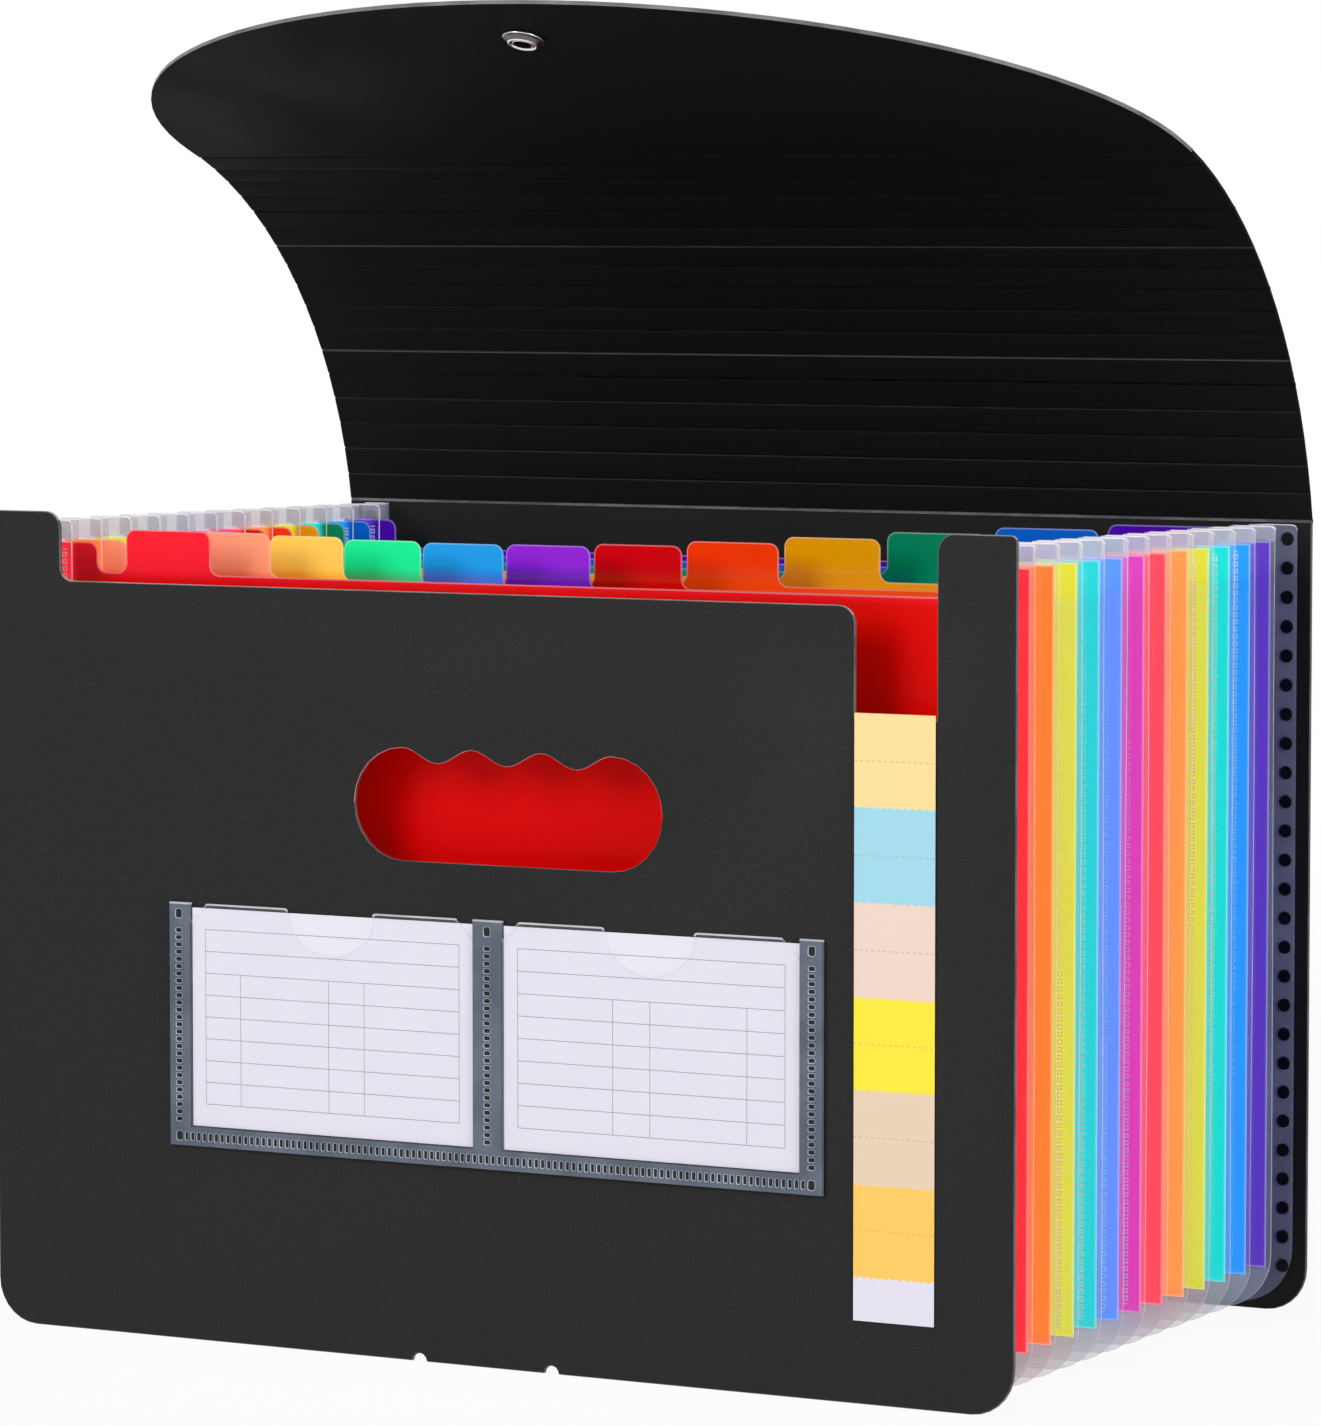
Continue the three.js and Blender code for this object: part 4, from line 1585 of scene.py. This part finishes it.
    def ridge_depth(self, point: Vector) -> float:
        """Distance of a point of the swept film inward from its ridge.

        Args:
            point: The point.

        Returns:
            The distance.
        """
        x = abs(point.x)
        if point.z >= self.bend_z:
            return RIDGE_X - x
        if x <= self.bend_x:
            return point.z - self.floor
        return self.corner - math.hypot(x - self.bend_x, self.bend_z - point.z)

    def wave(self, sheet: int, z: float) -> float:
        """How far a ridge strays inward, where the film isn't quite flat."""
        return self.ripple * (1 + math.sin(z / self.ripple_length + self.ripple_turn * sheet))

    def mark_share(self, number: int, point: Vector) -> float:
        """How well the weld marks at a gusset's back sheet catch the light.

        Args:
            number: The gusset, counted from the front.
            point: A point of the film.

        Returns:
            The share, from 0 to 1.
        """
        height = point.z / self.top
        if point.x < 0:
            share = float(number in self.left_marked)
        elif number in self.high_marked:
            share = height
        else:
            share = 1 - height if number in self.low_marked else 0.0
        return max(share, self.dull_mark)

    def corner_drop(self, along: float) -> float:
        """How far a round corner has dropped at a distance from its upright edge."""
        across = max(0.0, self.top_corner - along)
        return self.top_corner - math.sqrt(max(0.0, self.top_corner ** 2 - across ** 2))

    def shape(self, mesh: Mesh, number: int) -> None:
        """Note each vertex's depth, round the top corners, and let the ridges drift, stray and rise.

        Args:
            mesh: The swept film.
            number: The gusset, counted from the front.
        """
        depths = mesh.verts.layers.float.new("film_depth")
        shares = mesh.verts.layers.float.new("mark_share")
        front_lie, back_lie = self.lies(number)
        ends = (sheet_y(number - 1) + front_lie, sheet_y(number) - back_lie)
        covers = (number == 1, number == DIVIDERS + 1)
        for vert in mesh.verts:
            depth = self.ridge_depth(vert.co)
            vert[depths] = depth
            vert[shares] = self.mark_share(number, vert.co)
            half = 0 if vert.co.y < sum(ends) / 2 else 1
            lying = abs(vert.co.y - ends[half]) < MERGE_DISTANCE
            if vert.co.z > self.top - 2 * self.line:
                edge = self.half_section(ends[half], covers[half])[0][0]
                if lying:
                    vert.co.z -= self.corner_drop(abs(depth - edge))
                if not covers[half]:
                    vert.co.z -= self.corner_drop(max(0.0, depth))
            if vert.co.z > self.bend_z and not covers[half]:
                stray = self.wave(number - 1 + half, vert.co.z) * max(0.0, 1 - depth / self.top_corner)
                vert.co.x -= math.copysign(stray, vert.co.x)
            vert.co.x -= ridge_drift(vert.co.y) * max(-1.0, min(1.0, vert.co.x / self.bend_x))
            height = max(0.0, (vert.co.z - self.bend_z) / (self.top - self.bend_z))
            vert.co.z -= self.top_rise * height * vert.co.y / DEPTH

    def zone(self, face: Face, number: int) -> FilmPlace:
        """Which material a face of the film takes.

        Args:
            face: The face.
            number: The gusset, counted from the front.

        Returns:
            The material place.
        """
        if all(vert.co.z > self.top - self.line - MERGE_DISTANCE for vert in face.verts):
            return FilmPlace.LINE
        if abs(face.normal.y) < self.lying_share:
            return FilmPlace.PANEL
        middle = face.calc_center_median()
        at_back = middle.y > (sheet_y(number - 1) + sheet_y(number)) / 2
        if number == (DIVIDERS + 1 if at_back else 1):
            return FilmPlace.STRIP
        if self.ridge_depth(middle) > self.weld - self.line:
            return FilmPlace.LINE
        return FilmPlace.WELD if at_back else FilmPlace.PANEL

    def make_gusset(self, number: int, materials: list[Material]) -> None:
        """Make one gusset.

        Args:
            number: The gusset, counted from the front.
            materials: The film's materials.
        """
        mesh = bmesh.new()
        self.sweep(mesh, self.section(number))
        close_up(mesh)
        mesh.normal_update()
        for face in mesh.faces:
            face.material_index = self.zone(face, number)
        folds = [edge for edge in rim_edges(mesh) if len(edge.link_faces) == 2]
        rounded = bevel(mesh, folds, self.fold_round, self.fold_steps)

        def on_back_ridge(face: Face) -> bool:
            """Whether a rounded face lies on the ridge at the gusset's back sheet."""
            middle = face.calc_center_median()
            return middle.y > sheet_y(number) - PITCH / 4 and self.ridge_depth(middle) < self.line

        # Only the back ridge's rounded faces take the near-white line, partly a painted highlight on that
        # fold.
        paint(rounded, FilmPlace.LINE, on_back_ridge)
        self.shape(mesh, number)
        piece = make_piece(f"gusset_{number:02d}_film", mesh, materials)
        wall = piece.modifiers.new("wall", "SOLIDIFY")
        wall.thickness = self.thickness
        wall.offset = 0
        body = "back" if number == DIVIDERS + 1 else f"divider_{number:02d}"
        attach(piece, body)
        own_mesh(piece)
        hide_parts(f"gusset_{number:02d}")

    def make_spots(self, name: str, body: str, y: float, facing: int, material: Material) -> None:
        """Make the round weld spots that hold the film to a cover.

        Args:
            name: Name of the piece.
            body: The cover's body.
            y: Depth of the film's face.
            facing: 1 where the face looks along +Y, and -1 where it looks along -Y.
            material: The spots' plastic.
        """
        mesh = bmesh.new()
        across = HALF_WIDTH - self.spot_margin
        turned = Matrix.Rotation(-facing * math.pi / 2, 4, "X")
        bmesh.ops.create_cone(
            mesh, cap_ends=True, segments=self.spot_sides, radius1=self.spot_radius,
            radius2=self.spot_radius * self.spot_taper, depth=self.spot_rise, matrix=turned,
        )
        step = (self.spot_top - self.spot_floor) / (self.spots - 1)
        depth = y + facing * (self.spot_gap + self.spot_rise / 2)
        heights = [self.spot_floor + count * step for count in range(self.spots)]
        places = [Vector((side, depth, z)) for side in (-across, across) for z in heights]
        scatter(mesh, mesh.faces[:], places)
        piece = make_piece(name, mesh, [material])
        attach(piece, body)

    def build(self) -> None:
        """Make all the gussets and the weld spots on both covers."""
        materials = materials_of(self.panel, self.bright, self.welded, self.strip)
        for number in range(1, DIVIDERS + 2):
            self.make_gusset(number, materials)
        face = self.cover_lie + self.thickness / 2
        spot = self.spot.material()
        self.make_spots("back_weld_spots", "back", -face, -1, spot)
        self.make_spots("front_weld_spots", "front", -DEPTH + face, 1, spot)


# Card pocket


class PocketPlace(IntEnum):
    """Material places on the card pocket."""

    CLEAR = 0
    WELD = 1
    EDGE = 2
    FAINT_EDGE = 3


class StitchPlace(IntEnum):
    """Material places on the pocket's weld marks."""

    RIM = 0
    PIT = 1


@dataclass
class CardPocket:
    """Clear double pocket, welded to the front cover along marked strips, with a ruled card in each half."""

    side_strip: float = 0.007
    middle_strip: float = 0.0094
    floor_strip: float = 0.0055
    lip_edge: float = 0.0005
    mark: tuple[float, float] = (0.0023, 0.0016)
    mark_rise: float = 0.0003
    mark_rim: float = 0.00022
    mark_corner: float = 0.3
    mark_pit: float = 0.6
    mark_sink: float = 0.3
    side_pitch: float = 0.0021
    floor_pitch: float = 0.002
    floor_mark: tuple[float, float] = (0.0014, 0.0027)
    corner_mark: tuple[float, float] = (0.0024, 0.003)
    edge_margin: float = 0.0032
    left_columns: tuple[float, ...] = (0.14, 0.49, 0.63)
    right_columns: tuple[float, ...] = (0.36, 0.50, 0.86)
    clear: FrostedFilm = FrostedFilm(
        "pocket_clear_film", srgb(222, 226, 238), cover=0.045, roughness=0.15,
    )
    # The lips' pale cover is a painted highlight on the film's cut edge, fainter where a card lies behind.
    lip: FrostedFilm = FrostedFilm(
        "pocket_lip_painted_highlight", srgb(235, 238, 245), cover=0.5, roughness=0.15,
    )
    faint_lip: FrostedFilm = FrostedFilm(
        "pocket_lip_faint_painted_highlight", srgb(228, 228, 240), cover=0.16, roughness=0.15,
    )
    strip: CutEdge = CutEdge("pocket_weld_slate", srgb(84, 93, 106), srgb(98, 108, 122), roughness=0.35)
    # The weld marks' relief is modelled; their pale rim is a painted highlight and their near-black pit
    # painted shade.
    rim: CutEdge = CutEdge("pocket_weld_mark_painted_highlight", srgb(150, 158, 170), srgb(176, 183, 194), roughness=0.3)
    pit: CutEdge = CutEdge("pocket_weld_mark_painted_shade", srgb(10, 10, 12), srgb(22, 23, 26), roughness=0.4)

    def __post_init__(self) -> None:
        """Take the pocket's place from its solid."""
        low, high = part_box("card_pocket")
        self.left, self.right = low.x, high.x
        self.floor, self.top = low.z, high.z
        self.face = low.y
        cell = (self.right - self.left - 2 * self.side_strip - self.middle_strip) / 2
        first = self.left + self.side_strip
        second = self.right - self.side_strip - cell
        self.cells = ((first, first + cell), (second, second + cell))

    def in_cell(self, point: Vector) -> bool:
        """Whether a point lies before one of the two cards."""
        over = any(start < point.x < end for start, end in self.cells)
        return over and point.z > self.floor + self.floor_strip

    def dress_sheet(self) -> None:
        """Part the pocket's sheet into clear film, slate weld strips and lip edges with a painted highlight.
        """
        mesh = node_mesh("card_pocket")
        cuts = [((x, 0, 0), (1, 0, 0)) for cell in self.cells for x in cell]
        cuts.append(((0, 0, self.floor + self.floor_strip), (0, 0, 1)))
        for point, normal in cuts:
            geometry = [*mesh.verts, *mesh.edges, *mesh.faces]
            bmesh.ops.bisect_plane(mesh, geom=geometry, dist=MERGE_DISTANCE, plane_co=point, plane_no=normal)
        mesh.normal_update()
        paint(mesh.faces, PocketPlace.WELD, lambda face: not self.in_cell(face.calc_center_median()))
        welds = [face for face in mesh.faces if face.material_index == PocketPlace.WELD]
        around = dict.fromkeys(item for face in welds for item in (*face.verts, *face.edges))
        line = self.top - self.lip_edge
        bmesh.ops.bisect_plane(
            mesh, geom=[*around, *welds], dist=MERGE_DISTANCE, plane_co=(0, 0, line), plane_no=(0, 0, 1),
        )
        paint(mesh.faces, PocketPlace.EDGE, lambda face: face.material_index == PocketPlace.WELD
              and face.calc_center_median().z > line)
        panes = [
            face for face in mesh.faces
            if abs(face.normal.y) > FLAT_SHARE and face.material_index == PocketPlace.CLEAR
        ]
        ring = bmesh.ops.inset_region(
            mesh, faces=panes, thickness=self.lip_edge, use_boundary=True, use_even_offset=True,
        )["faces"]
        mesh.normal_update()

        def on_lip(face: Face) -> bool:
            """Whether a face of the ring meets the sheet's cut edge.

            Args:
                face: The face.

            Returns:
                True along the lip.
            """
            beside = [other for edge in face.edges for other in edge.link_faces if other is not face]
            walls = [other for other in beside if abs(other.normal.y) < STEEP_SHARE]
            return any(self.in_cell(other.calc_center_median()) for other in walls)

        paint(ring, PocketPlace.EDGE, on_lip)
        paint(mesh.faces, PocketPlace.EDGE, lambda face: abs(face.normal.y) < STEEP_SHARE
              and face.material_index == PocketPlace.CLEAR)
        card_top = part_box("card_left")[1].z
        paint(mesh.faces, PocketPlace.FAINT_EDGE, lambda face: face.material_index == PocketPlace.EDGE
              and face.calc_center_median().z < card_top)
        materials = materials_of(self.clear, self.strip, self.lip, self.faint_lip)
        piece = make_piece("card_pocket_sheet", mesh, materials)
        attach(piece, "front")
        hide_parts("card_pocket")

    def add_mark(self, mesh: Mesh, size: tuple[float, float], places: list[tuple[float, float]]) -> None:
        """Add rows of small rounded weld marks, each a rim with a painted highlight round a pit with painted
        shade.

        Args:
            mesh: The bmesh to add to.
            size: Width and height of a mark.
            places: X and Z of each mark's middle.
        """
        width, height = size
        earlier = set(mesh.faces)
        scale = Matrix.Diagonal((width, self.mark_rise, height, 1))
        made = bmesh.ops.create_cube(mesh, size=1, matrix=scale)["verts"]
        uprights = dict.fromkeys(
            edge for vert in made for edge in vert.link_edges
            if abs((edge.verts[0].co - edge.verts[1].co).normalized().y) > FLAT_SHARE
        )
        bevel(mesh, uprights, min(size) * self.mark_corner)
        new = [face for face in mesh.faces if face not in earlier]
        front = min(new, key=lambda face: face.calc_center_median().y)
        pit = -self.mark_rise * self.mark_pit
        bmesh.ops.inset_region(mesh, faces=[front], thickness=self.mark_rim, depth=pit, use_even_offset=True)
        front.material_index = StitchPlace.PIT
        faces = [face for face in mesh.faces if face not in earlier]
        y = self.face - self.mark_rise * self.mark_sink
        scatter(mesh, faces, [Vector((x, y, z)) for x, z in places])

    def make_marks(self) -> None:
        """Set the weld marks along the strips: columns on the three uprights, a row along the floor."""
        mesh = bmesh.new()
        columns = (
            self.left + self.edge_margin,
            (self.cells[0][1] + self.cells[1][0]) / 2,
            self.right - self.edge_margin,
        )
        row = self.floor + self.floor_strip / 2
        start = self.floor + self.floor_strip + self.side_pitch
        high = self.top - self.edge_margin
        count = int((high - self.corner_mark[1] - start) / self.side_pitch)
        heights = [start + step * self.side_pitch for step in range(count + 1)]
        self.add_mark(mesh, self.mark, [(x, z) for x in columns for z in heights])
        inner = self.left + self.edge_margin + self.corner_mark[0]
        count = int((self.right - self.edge_margin - self.corner_mark[0] - inner) / self.floor_pitch)
        along = [inner + step * self.floor_pitch for step in range(count + 1)]
        self.add_mark(mesh, self.floor_mark, [(x, row) for x in along])
        corners = [(columns[0], row), (columns[2], row), *((x, high) for x in columns)]
        self.add_mark(mesh, self.corner_mark, corners)
        piece = make_piece("card_pocket_marks", mesh, materials_of(self.rim, self.pit))
        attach(piece, "front")

    def dress_card(self, node: str, columns: tuple[float, ...]) -> None:
        """Print a card's table.

        Args:
            node: The card's solid.
            columns: Where the table's uprights stand, as shares of its width.
        """
        low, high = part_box(node)
        mesh = node_mesh(node)
        bevel(mesh, rim_edges(mesh), PAPER_ROUND, segments=1)
        paper = CardPaper(f"{node}_paper", low.x, high.x - low.x, low.z, columns)
        piece = make_piece(f"{node}_sheet", mesh, [paper.material()])
        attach(piece, node)
        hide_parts(node)

    def build(self) -> None:
        """Make the pocket and both cards."""
        self.dress_sheet()
        self.make_marks()
        self.dress_card("card_left", self.left_columns)
        self.dress_card("card_right", self.right_columns)


@dataclass
class LabelSheet:
    """Strip of seven coloured labels on the front cover."""

    joins: tuple[float, ...] = (0.0353, 0.0606, 0.0864, 0.1116, 0.1375, 0.1632)
    colours: tuple[Colour, ...] = (
        srgb(228, 224, 239), srgb(255, 203, 93), srgb(232, 207, 180), srgb(250, 231, 51),
        srgb(238, 212, 196), srgb(160, 215, 232), srgb(252, 219, 152),
    )

    def build(self) -> None:
        """Make the strip."""
        low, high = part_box("label_sheet")
        mesh = node_mesh("label_sheet")
        bevel(mesh, rim_edges(mesh), PAPER_ROUND, segments=1)
        paper = LabelPaper("label_paper", low.x, low.z, high.z - low.z, self.joins, self.colours)
        piece = make_piece("label_sheet_strip", mesh, [paper.material()])
        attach(piece, "front")
        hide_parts("label_sheet")


def main() -> None:
    """Build the studio and every sub-assembly."""
    logging.basicConfig(level=logging.INFO, format="%(message)s")
    Studio().build()
    Covers().build()
    flap = Flap()
    flap.build()
    PressFastener(flap).build()
    Dividers().build()
    Gussets().build()
    CardPocket().build()
    LabelSheet().build()


if __name__ == "__main__":
    main()
